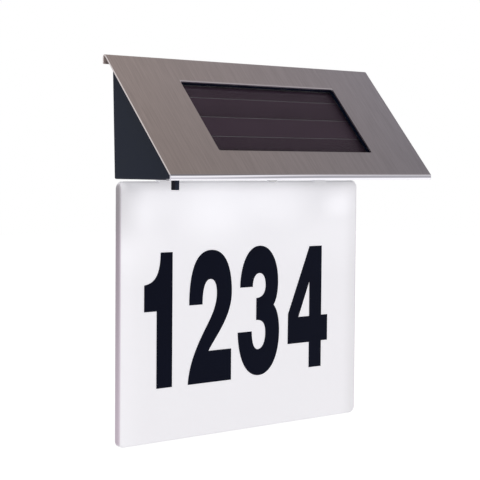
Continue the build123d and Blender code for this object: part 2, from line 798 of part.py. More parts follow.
def make_switch_knob():
    x = switch_x - knob_travel / 2
    top = board_bottom - switch_skin - knob_clearance
    stem = block(x - knob_width / 2, x + knob_width / 2, switch_y - knob_depth / 2, switch_y + knob_depth / 2,
                 floor_z - knob_below_floor, top)
    return fillet(stem.edges().group_by(Axis.Z)[0], knob_round)


# ------------------------------------------------------------------ lamps
def make_led_board():
    half = led_board_length / 2
    strip = block(-half, half, led_y - led_board_depth / 2, led_y + led_board_depth / 2,
                  led_board_bottom, led_board_bottom + led_board)
    for side in (-1, 1):
        strip -= post(side * led_board_screw_x, led_y, led_board_bottom, led_board_bottom + led_board,
                      small_shank + 2 * screw_clearance)
    return strip


def make_leds():
    radius = led_diameter / 2
    height = led_board_bottom - floor_z - led_recess
    dome = []
    for lift in (70, 40, 0):
        around = math.radians(lift)
        dome.append((radius * math.cos(around), radius - radius * math.sin(around)))
    lamp = turned(dome + [(radius, height)], screw_sides)
    lamp += Pos(0, 0, height - led_flange_height) * rod(led_flange, led_flange_height)
    return [Pos(x, led_y, led_board_bottom - height) * lamp for x in led_places()]


def make_led_board_screws():
    screws = []
    for side in (-1, 1):
        length = led_board + led_board_height - screw_clearance
        screw = pan_screw(small_shank, small_head, small_head_height, length)
        screws.append(Pos(side * led_board_screw_x, led_y, led_board_bottom + led_board) * screw)
    return screws


# ------------------------------------------------------------------ battery
def make_battery_cell():
    radius = cell_diameter / 2
    rim = radius - cell_chamfer
    can = turned([(rim, 0), (radius, cell_chamfer), (radius, cell_length - cell_chamfer), (rim, cell_length)],
                 small_sides)
    can += Pos(0, 0, cell_length) * rod(cell_nub_diameter, cell_nub)
    left = bay_right - contact - cell_nub - cell_length
    return Pos(left, bay_y, cell_axis_z) * Rot(0, 90, 0) * can


def make_battery_contact():
    half = contact_width / 2
    return block(bay_right - contact, bay_right, bay_y - half, bay_y + half, floor_top, cell_axis_z + half)


def make_battery_spring():
    """A bent leaf: its foot stands on the bay's end wall and its bow presses on the cell."""
    free = bay_spring_room
    height = cell_axis_z + contact_width / 2 - floor_top
    outer = [(0, 0), (contact, 0), (free - contact, 0.45 * height), (free, 0.55 * height),
             (free, 0.7 * height), (free - contact, 0.8 * height), (contact, height), (0, height)]
    inner = [(contact, 0.2 * height), (free - 2 * contact, 0.56 * height), (free - 2 * contact, 0.7 * height),
             (contact, 0.86 * height)]
    face = make_face(Polyline(*outer, close=True)) - make_face(Polyline(*inner, close=True))
    plane = Plane(origin=(bay_left, bay_y, floor_top), x_dir=(1, 0, 0), z_dir=(0, -1, 0))
    return extrude(plane * face, amount=contact_width / 2, both=True)


def make_battery_door():
    left, right, front, rear = door_outline(0)
    lid = block(left, right, front, rear, floor_z, floor_z + door)
    gap = 2 * door_clearance
    half = bay_width / 2 - gap
    lid += block(bay_left + gap, bay_right - gap, bay_y - half, bay_y + half,
                 floor_z + door, floor_z + door + door_rib)
    return lid - post(door_screw_x, bay_y, floor_z, floor_z + door, screw_shank + 2 * screw_clearance)


def make_battery_door_screw():
    screw = pan_screw(screw_shank, screw_head, screw_head_height, door_screw_length)
    screw = with_cross(screw, screw_head, screw_head_height, screw_head_height / 2)
    return Pos(door_screw_x, bay_y, floor_z) * Rot(180, 0, 0) * screw


# ------------------------------------------------------------------ wires
def wire(points):
    """A sleeved wire with flat facets, laid through the points."""
    path = Polyline(*points)
    start = Plane(origin=points[0], z_dir=Vector(*points[1]) - Vector(*points[0]))
    return sweep(start * RegularPolygon(wire_diameter / 2, wire_sides), path=path, transition=Transition.RIGHT)


def make_solar_leads():
    """Two wires from the back of the solar panel to the circuit board."""
    wires = []
    down = panel_middle - panel_wire_up
    for order in range(2):
        x = board_left + panel_wire_from_board + order * wire_pitch
        start = slope_frame.from_local_coords((x, -down, -retainer_depth))
        turn = slope_frame.from_local_coords((x, -down, -retainer_depth - panel_wire_leg))
        end = (x, turn.Y, board_bottom + board)
        wires.append(wire([tuple(start), tuple(turn), end]))
    return wires


def make_battery_leads():
    """One wire to the spring and one round the back of the bay to the contact."""
    x = board_left + battery_wire_from_board
    board_top = board_bottom + board
    level = floor_top + bay_height + wire_above_bay + wire_diameter / 2
    near = wire([(x, bay_y, board_top), (x, bay_y, level), (bay_left, bay_y, level)])
    start = board_rear - wire_inset
    behind = (bay_y + bay_width / 2 + bay_wall + led_y - led_board_depth / 2) / 2
    beside = bay_right + bay_wall + wire_beside_bay
    far = wire([(x, start, board_top), (x, start, level), (x, behind, level), (beside, behind, level),
                (beside, bay_y, level), (bay_right, bay_y, level)])
    return [near, far]


def make_led_leads():
    """Two wires that arch from the circuit board to the lamp board."""
    wires = []
    board_top = board_bottom + board
    level = board_top + wire_arch
    start = board_rear - wire_inset
    end = led_y - led_board_depth / 2 + wire_inset
    for order in range(2):
        x = board_left + lamp_wire_from_board + order * wire_pitch
        wires.append(wire([(x, start, board_top), (x, start, level), (x, end, level),
                           (x, end, led_board_bottom + led_board)]))
    return wires


# ------------------------------------------------------------------ write one file for each piece
pieces = {
    "roof_sheet": make_roof_sheet(),
    "roof_tape": make_roof_tape(),
    "housing": make_housing(),
    "back_cover": make_back_cover(),
    "back_gasket": make_back_gasket(),
    "back_cover_screws": make_back_cover_screws(),
    "light_panel": make_light_panel(),
    "panel_screws": make_panel_screws(),
    "digit_1": make_digit(digit_1_centre, 0, ONE, None),
    "digit_2": make_digit(digit_2_centre, 0, TWO, None),
    "digit_3": make_digit(digit_3_centre, digit_3_lift, THREE, None),
    "digit_4": make_digit(digit_4_centre, digit_4_lift, FOUR, FOUR_COUNTER),
    "solar_glass": make_solar_glass(),
    "solar_cells": make_solar_cells(),
    "solar_backing": make_solar_backing(),
    "solar_gasket": make_solar_gasket(),
    "solar_retainer": make_retainer(),
    "retainer_screws": make_retainer_screws(),
    "circuit_board": make_circuit_board(),
    "board_screws": make_board_screws(),
    "driver_chip": make_driver_chip(),
    "choke_coil": make_choke_coil(),
    "capacitor": make_capacitor(),
    "switch_body": make_switch_body(),
    "switch_knob": make_switch_knob(),
    "led_board": make_led_board(),
    "leds": make_leds(),
    "led_board_screws": make_led_board_screws(),
    "battery_cell": make_battery_cell(),
    "battery_contact": make_battery_contact(),
    "battery_spring": make_battery_spring(),
    "battery_door": make_battery_door(),
    "battery_door_screw": make_battery_door_screw(),
    "solar_leads": make_solar_leads(),
    "battery_leads": make_battery_leads(),
    "led_leads": make_led_leads(),
}

os.makedirs("parts", exist_ok=True)
for name, piece in pieces.items():
    if isinstance(piece, list):
        piece = Compound(children=piece)
    export_step(piece, f"parts/{name}.step")
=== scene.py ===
import math

import bpy
from mathutils import Matrix, Vector


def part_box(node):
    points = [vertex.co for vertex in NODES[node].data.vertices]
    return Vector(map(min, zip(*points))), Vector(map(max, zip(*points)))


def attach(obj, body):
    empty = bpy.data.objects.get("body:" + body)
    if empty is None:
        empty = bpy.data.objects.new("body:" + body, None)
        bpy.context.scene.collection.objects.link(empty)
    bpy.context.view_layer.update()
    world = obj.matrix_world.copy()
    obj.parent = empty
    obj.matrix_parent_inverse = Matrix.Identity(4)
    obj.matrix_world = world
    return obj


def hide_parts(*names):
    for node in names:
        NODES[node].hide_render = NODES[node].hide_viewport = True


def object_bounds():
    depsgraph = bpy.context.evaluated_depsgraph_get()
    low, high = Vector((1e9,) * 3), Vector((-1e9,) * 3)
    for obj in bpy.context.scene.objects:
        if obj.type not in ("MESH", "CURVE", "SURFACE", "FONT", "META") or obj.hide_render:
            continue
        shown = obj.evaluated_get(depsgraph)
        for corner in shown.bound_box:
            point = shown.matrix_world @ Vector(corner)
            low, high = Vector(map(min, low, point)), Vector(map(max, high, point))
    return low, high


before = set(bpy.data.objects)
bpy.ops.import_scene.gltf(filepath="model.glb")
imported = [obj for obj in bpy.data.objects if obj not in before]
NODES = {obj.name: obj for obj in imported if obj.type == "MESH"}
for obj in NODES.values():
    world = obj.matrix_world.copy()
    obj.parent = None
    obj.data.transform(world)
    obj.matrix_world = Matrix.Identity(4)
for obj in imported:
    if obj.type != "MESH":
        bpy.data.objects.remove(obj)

# %% [markdown]
# # A solar house number light
# The frame holds every piece of the light at its true size: a bent steel roof, a black wedge below it, a
# solar panel in the roof's window and a milky plate that lamps light from its upper edge. This lesson
# gives each piece its finish, models the small lamps and screws more closely, and lights the light as a
# photographer would. All lengths are metres. X runs to the right along the wall, Y into the wall and Z
# up.

# %% The frame's pieces and their box
cad_low, cad_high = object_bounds()
MM = 0.001
print("the frame holds", len(NODES), "pieces")
print("the light measures", [round(high - low, 4) for low, high in zip(cad_low, cad_high)])

# %% [markdown]
# ## A small kit for materials
# Every finish here is a Principled shader with a few textures in front of it. Making and wiring each node
# by hand takes several lines, so helpers do it. One adds a node with its settings, one feeds a socket
# from another node or with a plain value, one starts a material, and one gives a material to pieces of
# the frame.


# %% Helpers that make nodes and materials
def add_node(tree, kind, **settings):
    """Add a node and set its properties, or the inputs of that name."""
    node = tree.nodes.new(kind)
    for name, value in settings.items():
        if name in node.inputs:
            node.inputs[name].default_value = value
        else:
            setattr(node, name, value)
    return node


def feed(tree, value, socket):
    """Join a node's output to a socket, or set the socket to a plain number, vector or colour."""
    if isinstance(value, bpy.types.NodeSocket):
        tree.links.new(value, socket)
    elif socket.type == "RGBA":
        socket.default_value = (*value, 1)
    else:
        socket.default_value = value


def new_material(name, colour, roughness, **principled):
    """A material with one Principled shader; the rest are sockets by their names, with _ for a blank."""
    material = bpy.data.materials.new(name)
    material.use_nodes = True
    shader = shader_of(material)
    shader.inputs["Base Color"].default_value = (*colour, 1)
    shader.inputs["Roughness"].default_value = roughness
    for key, value in principled.items():
        shader.inputs[key.replace("_", " ")].default_value = value
    return material


def shader_of(material):
    return material.node_tree.nodes["Principled BSDF"]


def dress(material, *names):
    """Give one or more frame pieces a material."""
    for name in names:
        slots = NODES[name].data.materials
        slots.clear()
        slots.append(material)
        for face in NODES[name].data.polygons:
            face.material_index = 0
    print(material.name, "is on", ", ".join(names))


print("made the helpers add_node, feed, new_material, shader_of and dress")

# %% [markdown]
# ## Places and masks
# A finish often changes from place to place: it is duller on a fold and brighter under a lamp. The place
# comes from Object coordinates, which move with the piece and here are metres in the frame. A mask is a
# number from 0 to 1 that fades along one of them. It could be painted by hand, but a mask that is worked
# out from sizes stays in its place when a size changes. Values and masks are added and multiplied by Math
# nodes.


# %% Helpers for places
def object_point(tree, grain=(1, 1, 1), turn=(0, 0, 0)):
    """Object coordinates, turned back by turn and then divided by the size of a grain along each axis."""
    place = add_node(tree, "ShaderNodeTexCoord")
    mapping = add_node(tree, "ShaderNodeMapping", vector_type="TEXTURE", Scale=grain, Rotation=turn)
    feed(tree, place.outputs["Object"], mapping.inputs["Vector"])
    return mapping.outputs["Vector"]


def axes(tree):
    """The three object coordinates as separate values."""
    place = add_node(tree, "ShaderNodeSeparateXYZ")
    feed(tree, object_point(tree), place.inputs["Vector"])
    return place.outputs


print("made the helpers object_point and axes")


# %% Helpers for values and masks
def combine(tree, operation, first, second=0.0):
    """One or two values through a Math node."""
    node = add_node(tree, "ShaderNodeMath", operation=operation)
    for value, socket in zip((first, second), node.inputs):
        feed(tree, value, socket)
    return node.outputs[0]


def product(tree, *values):
    """All values times each other."""
    total = values[0]
    for value in values[1:]:
        total = combine(tree, "MULTIPLY", total, value)
    return total


def add_share(tree, total, value, amount):
    """total plus value times amount."""
    return combine(tree, "ADD", total, product(tree, value, amount))


def ramp(tree, value, start, end, low=0.0, high=1.0, curve="LINEAR"):
    """low at start and high at end, the larger; even between, unless curve asks for a smooth way."""
    node = add_node(tree, "ShaderNodeMapRange", interpolation_type=curve)
    for name, given in (("From Min", start), ("From Max", end), ("To Min", low), ("To Max", high)):
        node.inputs[name].default_value = given
    feed(tree, value, node.inputs["Value"])
    return node.outputs["Result"]


def fade(tree, value, start, end, low=0.0, high=1.0, curve="SMOOTHSTEP"):
    """high at start, low at end, and a smooth curve between, whichever of start and end is the smaller."""
    if start < end:
        return ramp(tree, value, start, end, high, low, curve)
    return ramp(tree, value, end, start, low, high, curve)


print("made the helpers combine, product, add_share, ramp and fade")

# %% [markdown]
# ## Colours
# A mask acts on a colour in two ways. It can blend the colour with another one, or its value can multiply
# the colour, which darkens it and keeps its tint. The Mix node does both, so two helpers wrap it.

# %% Helpers that blend and multiply colours
WHITE = (1, 1, 1)


def blend_colours(tree, share, first, second):
    """The first colour where share is 0, the second where it is 1."""
    node = add_node(tree, "ShaderNodeMix", data_type="RGBA")
    for value, name in ((share, "Factor"), (first, "A"), (second, "B")):
        feed(tree, value, node.inputs[name])
    return node.outputs["Result"]


def multiply_colour(tree, colour, value):
    """A colour times a value or another colour."""
    node = add_node(tree, "ShaderNodeMix", data_type="RGBA", blend_type="MULTIPLY", Factor=1.0)
    feed(tree, colour, node.inputs["A"])
    feed(tree, value, node.inputs["B"])
    return node.outputs["Result"]


print("made the helpers for colours, and WHITE is", WHITE)

# %% [markdown]
# ## Shared effect: a soft mottle
# Moulded plastic, vinyl and foam are never one even colour: handling, dust and the mould leave broad,
# faint clouds and a fine grain. A node group keeps that effect in one place. It gives out a factor for
# the colour and the roughness and a height for the bump, and each material sets its own scales and
# amounts. The bump stays far below a millimetre, so that it breaks up reflections and doesn't look like
# dents.


# %% Build the mottle group
def build_mottle():
    group = bpy.data.node_groups.new("soft_mottle", "ShaderNodeTree")
    for name in ("Cloud Scale", "Grain Scale", "Cloud Amount", "Grain Amount"):
        group.interface.new_socket(name, in_out="INPUT", socket_type="NodeSocketFloat")
    for name in ("Shade", "Height"):
        group.interface.new_socket(name, in_out="OUTPUT", socket_type="NodeSocketFloat")
    given = add_node(group, "NodeGroupInput").outputs
    result = add_node(group, "NodeGroupOutput").inputs
    place = add_node(group, "ShaderNodeTexCoord")
    shade = 1.0
    for name, detail, roughness in (("Cloud", 3.0, 0.55), ("Grain", 2.0, 0.6)):
        texture = add_node(group, "ShaderNodeTexNoise", Detail=detail, Roughness=roughness)
        feed(group, place.outputs["Object"], texture.inputs["Vector"])
        feed(group, given[name + " Scale"], texture.inputs["Scale"])
        centred = combine(group, "SUBTRACT", texture.outputs["Fac"], 0.5)
        shade = add_share(group, shade, centred, given[name + " Amount"])
    feed(group, shade, result["Shade"])
    # the grain is the last texture, and its height makes the bump
    feed(group, texture.outputs["Fac"], result["Height"])
    return group


MOTTLE = build_mottle()
print("the mottle group has", len(MOTTLE.nodes), "nodes")


# %% Use the mottle in a material
def add_mottle(tree, cloud, grain):
    """The mottle's outputs. cloud and grain are pairs of scale and amount."""
    effect = add_node(tree, "ShaderNodeGroup", node_tree=MOTTLE)
    for name, (scale, amount) in (("Cloud", cloud), ("Grain", grain)):
        effect.inputs[name + " Scale"].default_value = scale
        effect.inputs[name + " Amount"].default_value = amount
    return effect.outputs


def raise_surface(material, height, strength, depth):
    """Bump a material's surface by a height from 0 to 1 that stands for depth."""
    tree = material.node_tree
    relief = add_node(tree, "ShaderNodeBump", Strength=strength, Distance=depth)
    feed(tree, height, relief.inputs["Height"])
    feed(tree, relief.outputs["Normal"], shader_of(material).inputs["Normal"])


def mottled(name, colour, roughness, cloud, grain, depth, **principled):
    """A material with the mottle in its colour, roughness and surface, where depth is the grain's."""
    material = new_material(name, colour, roughness, **principled)
    tree = material.node_tree
    shader = shader_of(material)
    effect = add_mottle(tree, cloud, grain)
    feed(tree, multiply_colour(tree, colour, effect["Shade"]), shader.inputs["Base Color"])
    feed(tree, product(tree, effect["Shade"], roughness), shader.inputs["Roughness"])
    raise_surface(material, effect["Height"], 1.0, depth)
    return material


print("the mottle takes", [socket.name for socket in MOTTLE.interface.items_tree if socket.in_out == "INPUT"])

# %% [markdown]
# ## Brushed steel roof
# The roof is one bent sheet of stainless steel: a low lip at the wall, a slope with a window, an upright
# front face and a return that is folded back under it. It is brushed down its slope. Brushing leaves
# thousands of fine scratches that all run one way, so the sheet looks streaky from close by and satin
# from further off. A picture of scratches would need unwrapping and repeats, so noise is stretched thirty
# to fifty times along the slope instead. Object coordinates are turned by the slope's angle first, so
# that the streaks run down the sheet.

# %% Scratches down the slope
SLOPE_ANGLE = math.radians(49.74)
FINE_SCRATCH = (0.3 * MM, 14 * MM, 0.3 * MM)
BROAD_SCRATCH = (1.1 * MM, 32 * MM, 1.1 * MM)


def scratches(tree):
    """Fine and broad scratches in equal shares, from 0 to 1."""
    both = add_node(tree, "ShaderNodeMix", data_type="FLOAT", Factor=0.5)
    for name, grain, detail, roughness in (("A", FINE_SCRATCH, 2.0, 0.6), ("B", BROAD_SCRATCH, 3.0, 0.65)):
        noise = add_node(tree, "ShaderNodeTexNoise", Scale=1.0, Detail=detail, Roughness=roughness)
        feed(tree, object_point(tree, grain, (SLOPE_ANGLE, 0, 0)), noise.inputs["Vector"])
        feed(tree, noise.outputs["Fac"], both.inputs[name])
    return both.outputs["Result"]


print("the slope's angle is", round(math.degrees(SLOPE_ANGLE), 2))

# %% [markdown]
# ## The steel's tint
# A sheet of steel has hardly a colour of its own: it shows its surroundings. In the photograph one end looks
# warm and the other cool. Building that room would take many lights, so that reflection is painted into the
# base colour. The painted reflection runs from warm at the left to cool at the right, and painted shade
# darkens the slope a little towards its foot. The front face stands upright, so it mirrors other
# surroundings: its base colour holds a painted reflection with a cool tint, painted lighter at its left end
# and darker to the right.

# %% Slope and front face
roof_low, roof_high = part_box("roof_sheet")
FRONT_HEIGHT = 2.8 * MM
fold_height = roof_low.z + FRONT_HEIGHT
FOLD_BLEND = 0.6 * MM
FRONT_DIM_FROM = -20 * MM
# painted reflections: warm at the left end, cool at the right, and cool on the front face
STEEL_WARM_REFLECTION = (0.57, 0.50, 0.478)
STEEL_COOL_REFLECTION = (0.44, 0.425, 0.475)
FRONT_STEEL_REFLECTION = (0.50, 0.485, 0.54)
SCRATCH_RANGE = (0.3, 0.7)
STREAK_SHADES = (0.84, 1.16)
# painted shade down the slope, and painted light at the front face's left end
SLOPE_PAINTED_SHADES = (0.88, 1.04)
FRONT_PAINTED_LIGHT = (0.76, 1.12)


def slope_colour(tree, place, scratch):
    """The slope's painted reflection tint, darkened towards its foot by painted shade, with its streaks."""
    tint = blend_colours(tree, ramp(tree, place["X"], roof_low.x, roof_high.x), STEEL_WARM_REFLECTION, STEEL_COOL_REFLECTION)
    streak = ramp(tree, scratch, *SCRATCH_RANGE, *STREAK_SHADES)
    dim = fade(tree, place["Z"], roof_high.z, fold_height, *SLOPE_PAINTED_SHADES)
    return multiply_colour(tree, tint, product(tree, streak, dim))


def sheet_colour(tree, place, scratch):
    """The slope's colour down to the fold, and below it the front face's painted reflection, painted lighter
    at its left end.
    """
    shade = fade(tree, place["X"], roof_low.x, FRONT_DIM_FROM, *FRONT_PAINTED_LIGHT)
    on_front = fade(tree, place["Z"], fold_height, fold_height + FOLD_BLEND)
    return blend_colours(tree, on_front, slope_colour(tree, place, scratch),
                         multiply_colour(tree, FRONT_STEEL_REFLECTION, shade))


print("the fold is at", round(fold_height, 4))

# %% [markdown]
# ## Painted highlights and shade on the bend
# A bent sheet catches the light where it bends, so a painted highlight lies on a stripe under the fold and
# along its foot. Just above the stripe a thin line of painted shade darkens the bend. The stripes lie lower
# at the left end. A curve for each would be long, so the height is read as if they didn't drop, and then
# plain fades on it are enough.

# %% Painted highlight stripes along the fold and the foot
LEVEL_FROM = 20 * MM
STRIPE_DROP = 0.85 * MM
FOOT_DROP = 0.40 * MM
STRIPE_ABOVE_FOLD = (0.1 * MM, 0.6 * MM)
STRIPE_BELOW_FOLD = (0.1 * MM, 0.8 * MM)
STRIPE_FAR_END = 0.5
FOOT_HEIGHT = 0.5 * MM
FOOT_BLEND = 0.5 * MM


def leftward(tree, place):
    """1 at the roof's left end, 0 from a little right of its middle."""
    return fade(tree, place["X"], roof_low.x, LEVEL_FROM)


def levelled_height(tree, place, drop):
    """The height, read as if a stripe didn't drop towards the left end."""
    return add_share(tree, place["Z"], leftward(tree, place), drop)


def fold_highlight(tree, place):
    """The painted highlight stripe at the fold, weaker towards the right end."""
    height = levelled_height(tree, place, STRIPE_DROP)
    under, fully_under = STRIPE_BELOW_FOLD
    over, fully_over = STRIPE_ABOVE_FOLD
    lower_side = fade(tree, height, fold_height - under, fold_height - fully_under)
    upper_side = fade(tree, height, fold_height + over, fold_height + fully_over)
    strength = fade(tree, place["X"], roof_low.x, roof_high.x, low=STRIPE_FAR_END)
    return product(tree, lower_side, upper_side, strength)


def foot_highlight(tree, place):
    """The painted highlight along the foot of the front face."""
    foot_top = roof_low.z + FOOT_HEIGHT + FOOT_DROP
    return fade(tree, levelled_height(tree, place, FOOT_DROP), foot_top, foot_top + FOOT_BLEND)


print("the stripes drop by", STRIPE_DROP, "and", FOOT_DROP, "at the left end")

# %% The painted shade line above the fold's stripe
SHADE_LINE_TOP = 0.4 * MM
SHADE_LINE_SHARE = 0.55


def darken(tree, mask, share):
    """A factor that is 1 off the mask and takes away a share on it."""
    return combine(tree, "SUBTRACT", 1.0, product(tree, mask, share))


def bend_shade_line(tree, place):
    """A factor that darkens a thin line above the highlight stripe with painted shade, most at the left end.
    """
    over, fully_over = STRIPE_ABOVE_FOLD
    height = levelled_height(tree, place, STRIPE_DROP)
    above_stripe = fade(tree, height, fold_height + fully_over, fold_height + over)
    below_slope = fade(tree, place["Z"], fold_height, fold_height + SHADE_LINE_TOP)
    return darken(tree, product(tree, above_stripe, below_slope, leftward(tree, place)), SHADE_LINE_SHARE)


# the dull line is a thin line of painted shade
print("the dull line ends", SHADE_LINE_TOP, "above the fold")

# %% [markdown]
# ## Cut edges, with painted highlights and painted shade
# The sheet's cut edges are bare metal, and their marks here are painted light. The window's upper rim gets a
# painted highlight, as if it caught the light from overhead, and the sheet's two ends get a faint painted
# highlight. The ends of the return get painted shade, which makes them dark. How far down the slope a point
# lies is the dot product of its way from the ridge with the slope's direction, so the rim needs no turned
# object.

# %% The window's upper rim
glass_low, glass_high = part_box("solar_glass")
window_middle = (glass_low.x + glass_high.x) / 2
WINDOW_WIDTH = 117.8 * MM
WINDOW_FROM_RIDGE = 19.2 * MM
RIM_SHINE_ABOVE = 1.3 * MM
RIM_SHINE_BELOW = 0.4 * MM
RIDGE = (0, -0.2 * MM, 32.2 * MM)
SLOPE_DOWN = (0, -math.cos(SLOPE_ANGLE), -math.sin(SLOPE_ANGLE))


def combine_vectors(tree, operation, first, second):
    """Two vectors through a Vector Math node, whose outputs are Vector and Value."""
    node = add_node(tree, "ShaderNodeVectorMath", operation=operation)
    for value, socket in zip((first, second), node.inputs):
        feed(tree, value, socket)
    return node.outputs


def window_rim_highlight(tree, place):
    """1 on the window's upper edge, within its width, where a painted highlight lies."""
    from_ridge = combine_vectors(tree, "SUBTRACT", object_point(tree), RIDGE)["Vector"]
    down = combine_vectors(tree, "DOT_PRODUCT", from_ridge, SLOPE_DOWN)["Value"]
    near = fade(tree, down, WINDOW_FROM_RIDGE, WINDOW_FROM_RIDGE - RIM_SHINE_ABOVE)
    upper = combine(tree, "LESS_THAN", down, WINDOW_FROM_RIDGE + RIM_SHINE_BELOW)
    across = combine(tree, "ABSOLUTE", combine(tree, "SUBTRACT", place["X"], window_middle))
    within = combine(tree, "LESS_THAN", across, WINDOW_WIDTH / 2)
    return product(tree, near, upper, within)


print("the window's middle is at", round(window_middle, 4))

# %% The sheet's ends
END_SHINE = 0.2
END_SHINE_WIDTH = 0.1 * MM
END_MARGIN = 0.3 * MM
RETURN_BEHIND = (1.6 * MM, 1.0 * MM)
RETURN_HEIGHT = (1.0 * MM, 1.4 * MM)
CUT_BLEND = 0.05 * MM
# how much painted shade darkens the return's cut ends
RETURN_SHADE_SHARE = 0.85


def painted_highlights(tree, place):
    """Where the sheet gets painted highlights: fully on its stripes and the window's rim, a little on its cut
    ends.
    """
    sideways = combine(tree, "ABSOLUTE", place["X"])
    ends = fade(tree, sideways, roof_high.x, roof_high.x - END_SHINE_WIDTH, high=END_SHINE)
    inside = fade(tree, sideways, roof_high.x - END_MARGIN, roof_high.x)
    stripes = combine(tree, "MAXIMUM", foot_highlight(tree, place), fold_highlight(tree, place))
    edges = combine(tree, "MAXIMUM", ends, window_rim_highlight(tree, place))
    return combine(tree, "MAXIMUM", edges, product(tree, stripes, inside))


def shaded_return_ends(tree, place):
    """A factor that darkens the return's two cut ends with painted shade."""
    fully_behind, behind = RETURN_BEHIND
    tucked = fade(tree, place["Y"], roof_low.y + fully_behind, roof_low.y + behind)
    fully_low, low = RETURN_HEIGHT
    low_down = fade(tree, place["Z"], roof_low.z + fully_low, roof_low.z + low)
    sideways = combine(tree, "ABSOLUTE", place["X"])
    at_end = fade(tree, sideways, roof_high.x, roof_high.x - CUT_BLEND)
    return darken(tree, product(tree, tucked, low_down, at_end), RETURN_SHADE_SHARE)


print("the sheet's ends are at", round(roof_low.x, 4), round(roof_high.x, 4))

# %% Steel put together
# the colour of the painted highlights
HIGHLIGHT_STEEL = (0.93, 0.91, 0.97)
SCRATCH_ROUGHNESS = (0.24, 0.42)
LIP_ENDS = -1.3 * MM
LIP_BLENDED = -3.0 * MM
LIP_DULLNESS = 0.3
SCRATCH_STRENGTH = 0.35
SCRATCH_DEPTH = 0.02 * MM


def make_brushed_steel():
    material = new_material("brushed_steel", STEEL_WARM_REFLECTION, SCRATCH_ROUGHNESS[0], Metallic=1.0)
    tree = material.node_tree
    shader = shader_of(material)
    place = axes(tree)
    scratch = scratches(tree)
    # painted shade on the return's cut ends and on the line above the fold
    dark = product(tree, shaded_return_ends(tree, place), bend_shade_line(tree, place))
    brushed = multiply_colour(tree, sheet_colour(tree, place, scratch), dark)
    # painted highlights on the stripes, the window's rim and the sheet's ends
    colour = blend_colours(tree, painted_highlights(tree, place), brushed, HIGHLIGHT_STEEL)
    feed(tree, colour, shader.inputs["Base Color"])
    # the rear lip is left as it came from the mill, which is duller
    dull = fade(tree, place["Y"], LIP_ENDS, LIP_BLENDED, high=LIP_DULLNESS)
    rough = ramp(tree, scratch, 0.0, 1.0, *SCRATCH_ROUGHNESS)
    feed(tree, combine(tree, "ADD", rough, dull), shader.inputs["Roughness"])
    raise_surface(material, scratch, SCRATCH_STRENGTH, SCRATCH_DEPTH)
    return material


dress(make_brushed_steel(), "roof_sheet")

# %% [markdown]
# ## Black mouldings
# The wedge, its cover, the battery door and the panel's frame are moulded in black plastic with a fine
# spark-eroded texture. It looks blue-black outdoors because its sheen picks up the sky, so the blue in its
# base colour and its specular tint is a painted reflection. Grain of about a third of a millimetre and a
# middling roughness give that soft sheen. A low specular level keeps the black deep.

# %% Black plastic
# the blue in this black is a painted reflection of the sky
BLACK = (0.0050, 0.0078, 0.0225)
BLUE_SHEEN = (0.75, 0.88, 1.0, 1)
black_moulding = mottled("black_moulding", BLACK, 0.42, (22, 0.35), (3200, 0.25), 0.03 * MM,
                         Specular_IOR_Level=0.18, Specular_Tint=BLUE_SHEEN)
dress(black_moulding, "housing", "back_cover", "battery_door", "solar_retainer")

# %% [markdown]
# ## Switch knob
# The slide switch's knob is a plain block of harder plastic, smoother than the wedge. Its front face gets
# painted light, so that side is paler than its left side. One material with a mask on the front does both,
# which is simpler than a second slot on a piece this small.

# %% Knob with painted light on its front face
KNOB = (0.0097, 0.011, 0.024)
# painted light that lifts the knob's front face
KNOB_FRONT_LIGHT = (3.2, 3.7, 3.2)
LIT_FACE_DEPTH = 0.3 * MM


def light_front_face(material, node, gain):
    """Paint light on a piece's front face by lifting its colour; the face's depth is its box's lowest Y."""
    tree = material.node_tree
    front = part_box(node)[0].y
    mask = fade(tree, axes(tree)["Y"], front, front + LIT_FACE_DEPTH)
    base = shader_of(material).inputs["Base Color"]
    feed(tree, multiply_colour(tree, base.links[0].from_socket, blend_colours(tree, mask, WHITE, gain)), base)


knob_plastic = mottled("knob_plastic", KNOB, 0.35, (150, 0.2), (4000, 0.2), 0.015 * MM,
                       Specular_IOR_Level=0.11)
light_front_face(knob_plastic, "switch_knob", KNOB_FRONT_LIGHT)
dress(knob_plastic, "switch_knob")

# %% [markdown]
# ## Foam and rubber
# A tape of black foam bonds the roof to the wedge, a greyer foam frame seals the panel, and a rubber seal
# lies under the back cover. Foam has open cells and no shine, so it is very rough with a strong, deep
# grain. Rubber is smoother.

# %% Tape, gasket and seal
dress(mottled("black_foam", (0.018, 0.018, 0.018), 0.95, (60, 0.3), (1800, 0.6), 0.12 * MM), "roof_tape")
dress(mottled("gasket_foam", (0.060, 0.070, 0.100), 0.9, (60, 0.2), (1800, 0.4), 0.08 * MM), "solar_gasket")
dress(mottled("black_silicone", (0.022, 0.022, 0.026), 0.6, (80, 0.2), (900, 0.15), 0.02 * MM), "back_gasket")

# %% [markdown]
# ## Milky plate
# The plate is opal acrylic. Lamps in the wedge shine down into its upper edge and the light spreads
# inside it, so it glows most just under each lamp and evenly below. Real scattering inside the plate
# would be slow to render and wouldn't export, so the glow is painted as light that the surface gives off:
# an even part, and a soft oval spot under each lamp, worked out from the distance to that lamp.

# %% Where the lamps are
plate_low, plate_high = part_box("light_panel")
lamps_low, lamps_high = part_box("leds")
# the plate's box takes in its two tabs, so its own upper edge lies lower
TAB_HEIGHT = 10 * MM
plate_top = plate_high.z - TAB_HEIGHT
LAMP_COUNT = 4
flange_radius = (lamps_high.y - lamps_low.y) / 2
lamp_pitch = (lamps_high.x - lamps_low.x - 2 * flange_radius) / (LAMP_COUNT - 1)
lamp_places = [lamps_low.x + flange_radius + order * lamp_pitch for order in range(LAMP_COUNT)]
print("lamps at", [round(x, 4) for x in lamp_places])

# %% A spot under each lamp
SPOT_SQUASH = 1.8
